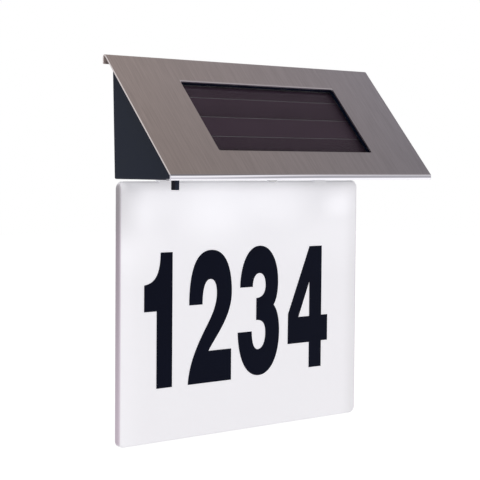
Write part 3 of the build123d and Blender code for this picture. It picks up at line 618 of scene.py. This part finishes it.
# amount, reach to the side and drop below the plate's edge in millimetres, for each lamp
LAMP_GLOW = ((0.24, 34, 11), (0.42, 56, 11), (0.33, 42, 11), (0.25, 22, 14))


def spot(tree, across, height, reach):
    """A soft oval spot: 1 at its middle, 0 at its reach to either side, whatever the depth."""
    flat = combine_vectors(tree, "MULTIPLY", object_point(tree), (1, 0, SPOT_SQUASH))["Vector"]
    apart = combine_vectors(tree, "DISTANCE", flat, (across, 0, height * SPOT_SQUASH))["Value"]
    return fade(tree, apart, 0, reach, curve="SMOOTHERSTEP")


def add_spots(tree, glow):
    """A glow with every lamp's spot added."""
    for across, (amount, reach, drop) in zip(lamp_places, LAMP_GLOW):
        glow = add_share(tree, glow, spot(tree, across, plate_top - drop * MM, reach * MM), amount)
    return glow


print("the spots reach", [reach for amount, reach, drop in LAMP_GLOW], "mm to the side")

# %% [markdown]
# ## The plate's glow from place to place
# Between the spots the plate glows evenly, more in its upper part, where the light enters. It is darker
# right at its upper edge, in the shade of the wedge, in its upper left corner, which no lamp reaches, and
# along its right side, and a little brighter along its left side. Painting this by eye would be hard to
# correct, so each of these is one mask, and a loop adds their shares to the even glow.

# %% Glow masks
EVEN_GLOW = 0.86
UPPER_GLOW = 0.55
EDGE_GLOW = -0.42
CORNER_GLOW = -1.0
LEFT_GLOW = 0.10
RIGHT_GLOW = -0.27
LEFT_MARGIN = 20 * MM
RIGHT_MARGIN = 13 * MM
# distances below the plate's upper edge
EDGE_DEPTH = 7 * MM
UPPER_PART = (4 * MM, 60 * MM)
CORNER_PART = (10 * MM, 42 * MM)


def plate_fade(tree, place, start, end, **shades):
    """A fade between two distances below the plate's upper edge."""
    return fade(tree, place["Z"], plate_top - start, plate_top - end, **shades)


def plate_glow(tree, place):
    """How strongly the plate glows, from place to place."""
    left = fade(tree, place["X"], plate_low.x, plate_low.x + LEFT_MARGIN)
    right = fade(tree, place["X"], plate_high.x, plate_high.x - RIGHT_MARGIN)
    upper = plate_fade(tree, place, *UPPER_PART)
    edge = plate_fade(tree, place, 0.0, EDGE_DEPTH)
    below_edge = plate_fade(tree, place, EDGE_DEPTH, 0.0)
    corner = product(tree, plate_fade(tree, place, *CORNER_PART), below_edge, left)
    total = EVEN_GLOW
    for mask, amount in ((upper, UPPER_GLOW), (edge, EDGE_GLOW), (corner, CORNER_GLOW), (left, LEFT_GLOW),
                         (right, RIGHT_GLOW)):
        total = add_share(tree, total, mask, amount)
    return add_spots(tree, total)


print("the even glow is", EVEN_GLOW, "and its upper part adds", UPPER_GLOW)

# %% [markdown]
# ## The plate's side walls
# The plate's cut side walls send less light out than its face does, so they look darker, most of all near the
# lamps. Low down they show a faint pink, because that light has passed through a lot of plastic. A second
# material would leave a hard line at the edge, so masks shade and tint both the glow and the plastic's own
# colour instead. On the plastic's own colour that darkening is painted shade and that pink is painted light.

# %% Opal acrylic, lit from its upper edge
OPAL = (0.80, 0.795, 0.825)
GLOW = (0.955, 0.95, 1.0)
GLOW_STRENGTH = 0.36
SIDE_WALL = 1.65 * MM
WALL_SHADES = (0.47, 0.78)
WALL_SHADE_FROM = 20 * MM
WALL_TINT = (1.0, 0.87, 0.97)
WALL_TINT_PART = (38 * MM, 4 * MM)
WALL_TINT_ABOVE = 0.35
OWN_SHADE = 0.6
PLATE_CLOUD = (14, 0.05)
PLATE_GRAIN = (600, 0.02)


def make_opal():
    material = new_material("opal_acrylic", OPAL, 0.12, Specular_IOR_Level=0.3,
                            Emission_Strength=GLOW_STRENGTH)
    tree = material.node_tree
    shader = shader_of(material)
    place = axes(tree)
    wall = fade(tree, combine(tree, "ABSOLUTE", place["X"]), plate_high.x, plate_high.x - SIDE_WALL)
    shade = darken(tree, wall, fade(tree, place["Z"], plate_top - WALL_SHADE_FROM, plate_low.z, *WALL_SHADES))
    tinted = product(tree, wall, plate_fade(tree, place, *WALL_TINT_PART, low=WALL_TINT_ABOVE))
    tint = blend_colours(tree, tinted, WHITE, WALL_TINT)
    glow = multiply_colour(tree, GLOW, product(tree, plate_glow(tree, place), shade))
    feed(tree, multiply_colour(tree, glow, tint), shader.inputs["Emission Color"])
    mottle_shade = add_mottle(tree, PLATE_CLOUD, PLATE_GRAIN)["Shade"]
    # painted shade on the side walls' own colour
    own_shade = combine(tree, "ADD", product(tree, shade, OWN_SHADE), 1 - OWN_SHADE)
    own = multiply_colour(tree, OPAL, product(tree, mottle_shade, own_shade))
    feed(tree, multiply_colour(tree, own, tint), shader.inputs["Base Color"])
    return material


dress(make_opal(), "light_panel")

# %% [markdown]
# ## Digits
# The digits are cut from black vinyl and stuck on. Vinyl film is satin, with a faint orange-peel that the
# glue under it leaves, and a slightly blue black. Their shapes come from the frame, so only the finish is
# made here.

# %% Black vinyl
VINYL = (0.0042, 0.0056, 0.0150)
black_vinyl = mottled("black_vinyl", VINYL, 0.4, (40, 0.3), (1500, 0.25), 0.01 * MM, Specular_IOR_Level=0.03)
dress(black_vinyl, "digit_1", "digit_2", "digit_3", "digit_4")

# %% [markdown]
# ## Solar cells and their coat
# The panel has four strips of thin-film cell on the back of its glass, and a paler coat behind them shows
# as three hairlines between the strips. The film is a dark purple-brown with faint upright scribe lines.
# A Wave texture of bands gives evenly spaced lines, and a narrow range of it keeps them thin.

# %% Cells and coat
CELL = (0.053, 0.034, 0.051)
CELL_LIGHT = (0.061, 0.040, 0.059)
PATCH_SCALE = 45.0
SCRIBE_SCALE = 60.0
SCRIBE_LINE = (0.97, 1.0)
SCRIBE_SHADE = 0.86


def make_cell_film():
    material = new_material("cell_film", CELL, 0.45, Specular_IOR_Level=0.05)
    tree = material.node_tree
    patch = add_node(tree, "ShaderNodeTexNoise", Scale=PATCH_SCALE, Detail=3.0)
    scribe = add_node(tree, "ShaderNodeTexWave", wave_type="BANDS", bands_direction="X", Scale=SCRIBE_SCALE)
    for texture in (patch, scribe):
        feed(tree, object_point(tree), texture.inputs["Vector"])
    tint = blend_colours(tree, patch.outputs["Fac"], CELL, CELL_LIGHT)
    line = ramp(tree, scribe.outputs["Fac"], *SCRIBE_LINE, 1.0, SCRIBE_SHADE)
    feed(tree, multiply_colour(tree, tint, line), shader_of(material).inputs["Base Color"])
    return material


dress(make_cell_film(), "solar_cells")
dress(mottled("panel_coat", (0.135, 0.13, 0.14), 0.6, (60, 0.3), (1200, 0.2), 0.02 * MM), "solar_backing")

# %% [markdown]
# ## Glass
# Solar glass is made to reflect little, so that more light reaches the cells. A low index of refraction
# does the same here. Wiping leaves faint smears, which are a change of roughness and no change of colour.
# A pane in front of other pieces renders speckled when soft light has to find its way through it, so
# shadow rays and diffuse rays pass straight through.

# %% Glass with faint smears
SMEAR_GRAIN = (33 * MM, 33 * MM, 11 * MM)
SMEAR_RANGE = (0.35, 0.7)
SMEAR_ROUGHNESS = (0.0, 0.03)
LOW_INDEX = 1.15
GLASS = (0.92, 0.93, 0.95)
panel_glass = new_material("panel_glass", GLASS, SMEAR_ROUGHNESS[1], Transmission_Weight=1.0, IOR=LOW_INDEX)


def smear(material):
    """Faint wiped smears: the roughness wanders between two values."""
    tree = material.node_tree
    cloud = add_node(tree, "ShaderNodeTexNoise", Scale=1.0, Detail=4.0)
    feed(tree, object_point(tree, SMEAR_GRAIN), cloud.inputs["Vector"])
    wander = ramp(tree, cloud.outputs["Fac"], *SMEAR_RANGE, *SMEAR_ROUGHNESS)
    feed(tree, wander, shader_of(material).inputs["Roughness"])


smear(panel_glass)
print("the pane's roughness runs from", *SMEAR_ROUGHNESS)


# %% Light through the pane
def blend_shaders(tree, share, first, second):
    """The first shader where share is 0, the second where it is 1."""
    node = add_node(tree, "ShaderNodeMixShader")
    for value, socket in zip((share, first, second), node.inputs):
        feed(tree, value, socket)
    return node.outputs[0]


def show(material, result):
    """Make a blended shader the one that the material shows."""
    feed(material.node_tree, result, material.node_tree.nodes["Material Output"].inputs["Surface"])


def let_light_through(material):
    """Shadow and diffuse rays pass straight through the pane."""
    tree = material.node_tree
    ray = add_node(tree, "ShaderNodeLightPath").outputs
    soft = combine(tree, "MAXIMUM", ray["Is Shadow Ray"], ray["Is Diffuse Ray"])
    clear = add_node(tree, "ShaderNodeBsdfTransparent")
    show(material, blend_shaders(tree, soft, shader_of(material).outputs[0], clear.outputs[0]))


let_light_through(panel_glass)
dress(panel_glass, "solar_glass")

# %% [markdown]
# ## Small metal
# The screws are plain bright steel, the battery's contacts are nickel-plated, the capacitor has a drawn
# can and the switch a tinned case. They differ in tint and polish, so one recipe with other numbers
# serves them all.


# %% Metals
def metal(name, colour, roughness, cloud, grain, depth):
    return mottled(name, colour, roughness, cloud, grain, depth, Metallic=1.0)


bright_steel = metal("bright_steel", (0.56, 0.56, 0.57), 0.28, (220, 0.25), (5000, 0.2), 0.01 * MM)
nickel = metal("nickel_plate", (0.62, 0.59, 0.53), 0.22, (180, 0.2), (4000, 0.15), 0.008 * MM)
drawn_can = metal("drawn_can", (0.66, 0.66, 0.68), 0.3, (120, 0.2), (3000, 0.15), 0.01 * MM)
tinned = metal("tinned_case", (0.50, 0.50, 0.50), 0.35, (150, 0.3), (2500, 0.2), 0.015 * MM)
dress(bright_steel, "back_cover_screws", "panel_screws", "battery_door_screw", "retainer_screws",
      "board_screws", "led_board_screws")
dress(nickel, "battery_contact", "battery_spring")
dress(drawn_can, "capacitor")
dress(tinned, "switch_body")

# %% [markdown]
# ## Parts inside
# Inside are two green boards, a chip, a coil, the battery in its sleeve and the wires. They hardly show,
# but each gets its own finish, so that the light also looks right when it is opened. The lamps' clear
# resin lets some light through, which the Transmission Weight sets.

# %% Boards, chip, coil, sleeves and lamp resin
INNER_GRAIN_DEPTH = 0.01 * MM


def inner_part(name, colour, roughness, cloud, grain, **principled):
    return mottled(name, colour, roughness, cloud, grain, INNER_GRAIN_DEPTH, **principled)


solder_mask = inner_part("solder_mask", (0.012, 0.10, 0.035), 0.3, (90, 0.35), (2500, 0.15))
chip_resin = inner_part("chip_resin", (0.02, 0.02, 0.022), 0.55, (300, 0.2), (6000, 0.3))
copper = inner_part("lacquered_copper", (0.42, 0.16, 0.05), 0.3, (200, 0.2), (1800, 0.4), Metallic=0.8)
cell_sleeve = inner_part("cell_sleeve", (0.03, 0.16, 0.09), 0.25, (60, 0.15), (2000, 0.08))
wire_sleeve = inner_part("wire_sleeve", (0.35, 0.02, 0.018), 0.45, (150, 0.2), (1500, 0.15))
lamp_resin = inner_part("lamp_resin", (0.85, 0.88, 0.92), 0.08, (200, 0.05), (3000, 0.05),
                        Transmission_Weight=0.6)
dress(solder_mask, "circuit_board", "led_board")
dress(chip_resin, "driver_chip")
dress(copper, "choke_coil")
dress(cell_sleeve, "battery_cell")
dress(wire_sleeve, "solar_leads", "battery_leads", "led_leads")

# %% [markdown]
# ## Turned pieces
# Lamps and screws are round, so they come from a lathe-like helper. It starts from a filled circle, then
# extrudes it up and scales it from ring to ring, as a turner works along a bar. Edges under 32 degrees
# are smoothed and the sharper shoulders stay crisp. Each piece is made upright at the origin, turned, put
# in its place, and then its place is applied, so that its object stays at the origin.

# %% A small lathe
SMOOTH_ANGLE = math.radians(32)


def lathe(name, rings, sides):
    """A solid turned through rings of (radius, height), the lowest first."""
    bpy.ops.object.select_all(action="DESELECT")
    radius, height = rings[0]
    bpy.ops.mesh.primitive_circle_add(vertices=sides, radius=radius, fill_type="NGON", location=(0, 0, 0))
    piece = bpy.context.object
    piece.name = name
    bpy.ops.object.mode_set(mode="EDIT")
    bpy.ops.mesh.select_all(action="SELECT")
    bpy.ops.transform.translate(value=(0, 0, height))
    for next_radius, next_height in rings[1:]:
        bpy.ops.mesh.extrude_region_move(TRANSFORM_OT_translate={"value": (0, 0, next_height - height)})
        ratio = next_radius / radius
        bpy.ops.transform.resize(value=(ratio, ratio, 1), center_override=(0, 0, next_height))
        radius, height = next_radius, next_height
    bpy.ops.mesh.select_all(action="SELECT")
    bpy.ops.mesh.normals_make_consistent(inside=False)
    bpy.ops.object.mode_set(mode="OBJECT")
    bpy.ops.object.shade_smooth_by_angle(angle=SMOOTH_ANGLE)
    return piece


print("the lathe smooths edges under", round(math.degrees(SMOOTH_ANGLE)), "degrees")

# %% [markdown]
# ## From the lathe to the frame
# Finished pieces that repeat are joined into one object, because the frame holds them as one node. The
# new object gets its material, moves with the sign's body and takes the place of the plainer node.

# %% Place, join and hand over
SIGN = "sign"


def select_only(piece):
    bpy.ops.object.select_all(action="DESELECT")
    piece.select_set(True)
    bpy.context.view_layer.objects.active = piece


def apply_place(piece, turn, place):
    """Turn a piece, put it in its place and apply both."""
    select_only(piece)
    piece.rotation_euler = turn
    piece.location = place
    bpy.ops.object.transform_apply(location=True, rotation=True, scale=True)


def join_pieces(name, made):
    """One object from several."""
    select_only(made[0])
    for piece in made[1:]:
        piece.select_set(True)
    bpy.ops.object.join()
    made[0].name = name
    return made[0]


def hand_over(piece, material, node):
    """Give a finished piece its finish and its place in the frame, in the node's stead."""
    piece.data.materials.clear()
    piece.data.materials.append(material)
    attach(piece, SIGN)
    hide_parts(node)
    print(node, "now has", len(piece.data.polygons), "faces")


# %% [markdown]
# ## Lamps
# Each lamp is a 3 mm lamp of clear resin that points down: a domed tip, a straight body and a flange at
# its foot. The dome is an arc cut into rings. It stops a little short of the very tip, where a ring of no
# width would leave faces without an area.

# %% Four lamps
LAMP_SIDES = 40
DOME_RINGS = 8
DOME_LIFT = 86
LAMP_RADIUS = 1.5 * MM
FLANGE_HEIGHT = 1.0 * MM
FLANGE_BEVEL = 0.2 * MM


def lamp_rings(height):
    """A domed tip, a straight body and a flange with a bevelled edge."""
    rings = []
    for ring in range(DOME_RINGS):
        lift = math.radians(DOME_LIFT * (1 - ring / (DOME_RINGS - 1)))
        rings.append((LAMP_RADIUS * math.cos(lift), LAMP_RADIUS * (1 - math.sin(lift))))
    shoulder = height - FLANGE_HEIGHT
    rings += [(LAMP_RADIUS, shoulder), (flange_radius, shoulder)]
    return rings + [(flange_radius, height - FLANGE_BEVEL), (flange_radius - FLANGE_BEVEL, height)]


def make_lamps():
    made = []
    for x in lamp_places:
        lamp = lathe("lamp", lamp_rings(lamps_high.z - lamps_low.z), LAMP_SIDES)
        apply_place(lamp, (0, 0, 0), (x, (lamps_low.y + lamps_high.y) / 2, lamps_low.z))
        made.append(lamp)
    hand_over(join_pieces("lamps", made), lamp_resin, "leds")


make_lamps()

# %% [markdown]
# ## Screws
# The screws are pan heads and countersunk heads with a cross recess. A real thread is a helix, but on a
# screw this small a row of rings along the shank looks the same and takes far fewer faces. A pan head's
# dome is an arc from the rim to the crown, and two crossed bars cut the recess.

# %% Shank and heads
HEAD_RADIUS = 2.8 * MM
SHANK_RADIUS = 1.4 * MM
TIP_RADIUS = 0.1 * MM
THREAD_PITCH = 1.0 * MM
THREAD_DEPTH = 0.28 * MM
HEAD_RINGS = 7
RIM_SHARE = 0.35
DOME_SHARE = 0.5
CROWN_SHARE = 0.45
RIM_BEVEL = 0.1 * MM


def shank_rings(length, stop):
    """Rings from the point at -length up to the height stop, with a thread on most of them."""
    root = SHANK_RADIUS - THREAD_DEPTH
    rings = [(TIP_RADIUS, -length), (root, -length + SHANK_RADIUS)]
    height = -length + SHANK_RADIUS + THREAD_PITCH / 2
    while height < stop - THREAD_PITCH:
        rings.append((SHANK_RADIUS, height))
        rings.append((root, height + THREAD_PITCH / 2))
        height += THREAD_PITCH
    return rings + [(root, stop)]


def pan_head_rings(height):
    """A pan head: a short upright rim, then an arc to the crown."""
    rings = [(HEAD_RADIUS, 0), (HEAD_RADIUS, height * RIM_SHARE)]
    for ring in range(1, HEAD_RINGS):
        lift = math.radians(90 * ring / HEAD_RINGS)
        radius = HEAD_RADIUS * (1 - DOME_SHARE + DOME_SHARE * math.cos(lift))
        rings.append((radius, height * (RIM_SHARE + (1 - RIM_SHARE) * math.sin(lift))))
    return rings + [(HEAD_RADIUS * CROWN_SHARE, height)]


def flat_head_rings():
    """A countersunk head with a slightly bevelled rim, flush with height 0."""
    return [(HEAD_RADIUS - RIM_BEVEL, -RIM_BEVEL), (HEAD_RADIUS, 0)]


print("a thread is", THREAD_DEPTH, "deep and repeats every", THREAD_PITCH)

# %% Cross recess and whole screws
SCREW_SIDES = 40
CROSS_WIDTH = 0.8 * MM
CROSS_LENGTH = 2.8 * MM


def cut_cross(screw, top, depth):
    """Cut a cross recess into a head."""
    for turn in (0, 90):
        bpy.ops.object.select_all(action="DESELECT")
        bpy.ops.mesh.primitive_cube_add(size=1, location=(0, 0, top))
        cutter = bpy.context.object
        cutter.scale = (CROSS_LENGTH, CROSS_WIDTH, 2 * depth)
        cutter.rotation_euler = (0, 0, math.radians(turn))
        select_only(screw)
        modifier = screw.modifiers.new("cross", "BOOLEAN")
        modifier.object = cutter
        modifier.operation = "DIFFERENCE"
        bpy.ops.object.modifier_apply(modifier=modifier.name)
        bpy.data.objects.remove(cutter, do_unlink=True)


def make_pan_screw(length, head_height):
    screw = lathe("pan_screw", shank_rings(length, 0) + pan_head_rings(head_height), SCREW_SIDES)
    cut_cross(screw, head_height, head_height / 2)
    return screw


def make_flat_screw(length):
    sink = HEAD_RADIUS - SHANK_RADIUS
    screw = lathe("flat_screw", shank_rings(length, -sink) + flat_head_rings(), SCREW_SIDES)
    cut_cross(screw, 0, sink / 2)
    return screw


print("the cross recess is", CROSS_LENGTH, "by", CROSS_WIDTH)

# %% [markdown]
# ## The screws that show
# Four pan screws hold the back cover and one holds the battery door, and two countersunk screws hold the
# plate's tabs. The other screws are inside, so their plain solids stay. Each screw's length is taken from
# its box in the frame, so that it fills the plain solid's place.

# %% Cover screws and tab screws, which point away from the wall
TO_WALL = (math.radians(-90), 0, 0)
COVER_HEAD = 1.5 * MM


def corner_places(node):
    """X and Z of a node's screws, worked out from the box round all of them."""
    low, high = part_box(node)
    heights = [(low.z + high.z) / 2]
    if high.z - low.z > 3 * HEAD_RADIUS:
        heights = [low.z + HEAD_RADIUS, high.z - HEAD_RADIUS]
    return [(x, z) for x in (low.x + HEAD_RADIUS, high.x - HEAD_RADIUS) for z in heights]


def make_screws(name, node, head_height):
    """All of a node's screws as one object. A head height of 0 stands for countersunk heads."""
    low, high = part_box(node)
    length = high.y - low.y - head_height
    made = []
    for x, z in corner_places(node):
        screw = make_pan_screw(length, head_height) if head_height else make_flat_screw(length)
        apply_place(screw, TO_WALL, (x, high.y - head_height, z))
        made.append(screw)
    hand_over(join_pieces(name, made), bright_steel, node)


make_screws("cover_screws", "back_cover_screws", COVER_HEAD)
make_screws("tab_screws", "panel_screws", 0)

# %% The battery door's screw, which points up
UPSIDE_DOWN = (math.radians(180), 0, 0)
DOOR_HEAD = 1.6 * MM


def make_door_screw():
    low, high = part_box("battery_door_screw")
    screw = make_pan_screw(high.z - low.z - DOOR_HEAD, DOOR_HEAD)
    apply_place(screw, UPSIDE_DOWN, ((low.x + high.x) / 2, (low.y + high.y) / 2, low.z + DOOR_HEAD))
    hand_over(screw, bright_steel, "battery_door_screw")


make_door_screw()

# %% [markdown]
# ## Floor
# The photograph was taken on pure white, so the floor is a plain pale plane well below the sign. A lit
# plane renders grey where the light falls off, so rays from the camera, reflections and refractions see
# mostly an even white instead. Seen from below the floor isn't there, so the light can be looked at from
# underneath.

# %% One-sided white floor
FLOOR_DROP = 0.30
FLOOR_SIZE = 14.0
FLOOR_GREY = (0.85, 0.85, 0.85)
FLOOR_WHITE = 1.2
WHITE_SHARE = 0.85


def make_floor_paint():
    material = new_material("floor_paint", FLOOR_GREY, 0.9)
    tree = material.node_tree
    ray = add_node(tree, "ShaderNodeLightPath").outputs
    seen = combine(tree, "MAXIMUM", ray["Is Camera Ray"], ray["Is Glossy Ray"])
    seen = combine(tree, "MAXIMUM", seen, ray["Is Transmission Ray"])
    white = add_node(tree, "ShaderNodeEmission", Strength=FLOOR_WHITE)
    paint = shader_of(material)
    top = blend_shaders(tree, product(tree, seen, WHITE_SHARE), paint.outputs[0], white.outputs[0])
    below = add_node(tree, "ShaderNodeNewGeometry").outputs["Backfacing"]
    clear = add_node(tree, "ShaderNodeBsdfTransparent")
    show(material, blend_shaders(tree, below, top, clear.outputs[0]))
    return material


bpy.ops.object.select_all(action="DESELECT")
bpy.ops.mesh.primitive_plane_add(size=FLOOR_SIZE, location=(0, 0, cad_low.z - FLOOR_DROP))
floor = bpy.context.object
floor.name = "floor"
floor.data.materials.append(make_floor_paint())
print("the floor is", FLOOR_DROP, "below the sign")

# %% [markdown]
# ## Surroundings
# The camera sees plain white all round. Steel shows what it reflects, and a studio is darker overhead, so
# for every other ray the surroundings darken upwards. They light matt surfaces at less than their full
# strength, which leaves room for the lamps. All of it is in the world's own nodes, split by the kind of
# ray.

# %% White studio that is darker overhead
OVERHEAD = (0.43, 0.40, 0.395)
DARK_BY = 0.62
WHITE_UP_TO = 0.15
DIFFUSE_LEVEL = 0.62


def make_surroundings():
    world = bpy.data.worlds.new("studio")
    bpy.context.scene.world = world
    world.use_nodes = True
    tree = world.node_tree
    background = tree.nodes["Background"]
    direction = add_node(tree, "ShaderNodeTexCoord")
    split = add_node(tree, "ShaderNodeSeparateXYZ")
    feed(tree, direction.outputs["Generated"], split.inputs["Vector"])
    studio = blend_colours(tree, fade(tree, split.outputs["Z"], DARK_BY, WHITE_UP_TO), WHITE, OVERHEAD)
    ray = add_node(tree, "ShaderNodeLightPath").outputs
    feed(tree, blend_colours(tree, ray["Is Camera Ray"], studio, WHITE), background.inputs["Color"])
    feed(tree, ramp(tree, ray["Is Diffuse Ray"], 0.0, 1.0, 1.0, DIFFUSE_LEVEL), background.inputs["Strength"])


make_surroundings()
print("overhead the studio is", OVERHEAD)

# %% [markdown]
# ## Soft lamps
# A large disk in front of the sign, above it and to its left, is the key light. A small lamp would throw
# the roof's shadow with a hard edge, and a large one keeps it soft. A weaker disk on the right fills that
# shadow. The fill is left out of reflections, so that the steel and the glass show only one lamp.

# %% Key and fill
KEY_PLACE = (-0.9, -1.5, 0.9)
KEY_SIZE = 0.9
KEY_POWER = 9
FILL_PLACE = (1.4, -1.2, 0.4)
FILL_SIZE = 1.2
FILL_POWER = 5


def add_soft_light(name, place, size, power):
    """A disk lamp that faces the sign's middle."""
    bpy.ops.object.light_add(type="AREA", location=place)
    lamp = bpy.context.object
    lamp.name = name
    lamp.data.shape = "DISK"
    lamp.data.size = size
    lamp.data.energy = power
    middle = (Vector(cad_low) + Vector(cad_high)) / 2
    lamp.rotation_euler = (middle - Vector(place)).to_track_quat("-Z", "Y").to_euler()
    print(name, "stands", round((middle - Vector(place)).length, 2), "away")
    return lamp


add_soft_light("key", KEY_PLACE, KEY_SIZE, KEY_POWER)
fill = add_soft_light("fill", FILL_PLACE, FILL_SIZE, FILL_POWER)
fill.visible_glossy = False

# %% [markdown]
# ## Camera
# The camera stands where the photographer's did: left of the sign, a little above its middle, looking
# slightly down. A camera set by eye never quite fits, so its place and lens were worked out from the
# photo's straight edges. The Standard view shows colours as they are, and whites stay white.

# %% Camera
CAMERA_PLACE = (-0.59777, -0.62797, -0.02487)
CAMERA_TURN = 43.526
CAMERA_TILT = -2.897
CAMERA_ROLL = 0.442
CAMERA_LENS = 115.59
CAMERA_SENSOR = 36
CAMERA_CLIP = 0.01
bpy.ops.object.camera_add(location=CAMERA_PLACE)
camera = bpy.context.object
camera.name = "camera"
camera.rotation_euler = (
    Matrix.Rotation(math.radians(-CAMERA_TURN), 3, "Z")
    @ Matrix.Rotation(math.radians(90 + CAMERA_TILT), 3, "X")
    @ Matrix.Rotation(math.radians(CAMERA_ROLL), 3, "Z")
).to_euler()
camera.data.sensor_width = CAMERA_SENSOR
camera.data.lens = CAMERA_LENS
camera.data.clip_start = CAMERA_CLIP
bpy.context.scene.camera = camera
bpy.context.scene.view_settings.view_transform = "Standard"
print("the camera looks", -CAMERA_TILT, "degrees down")
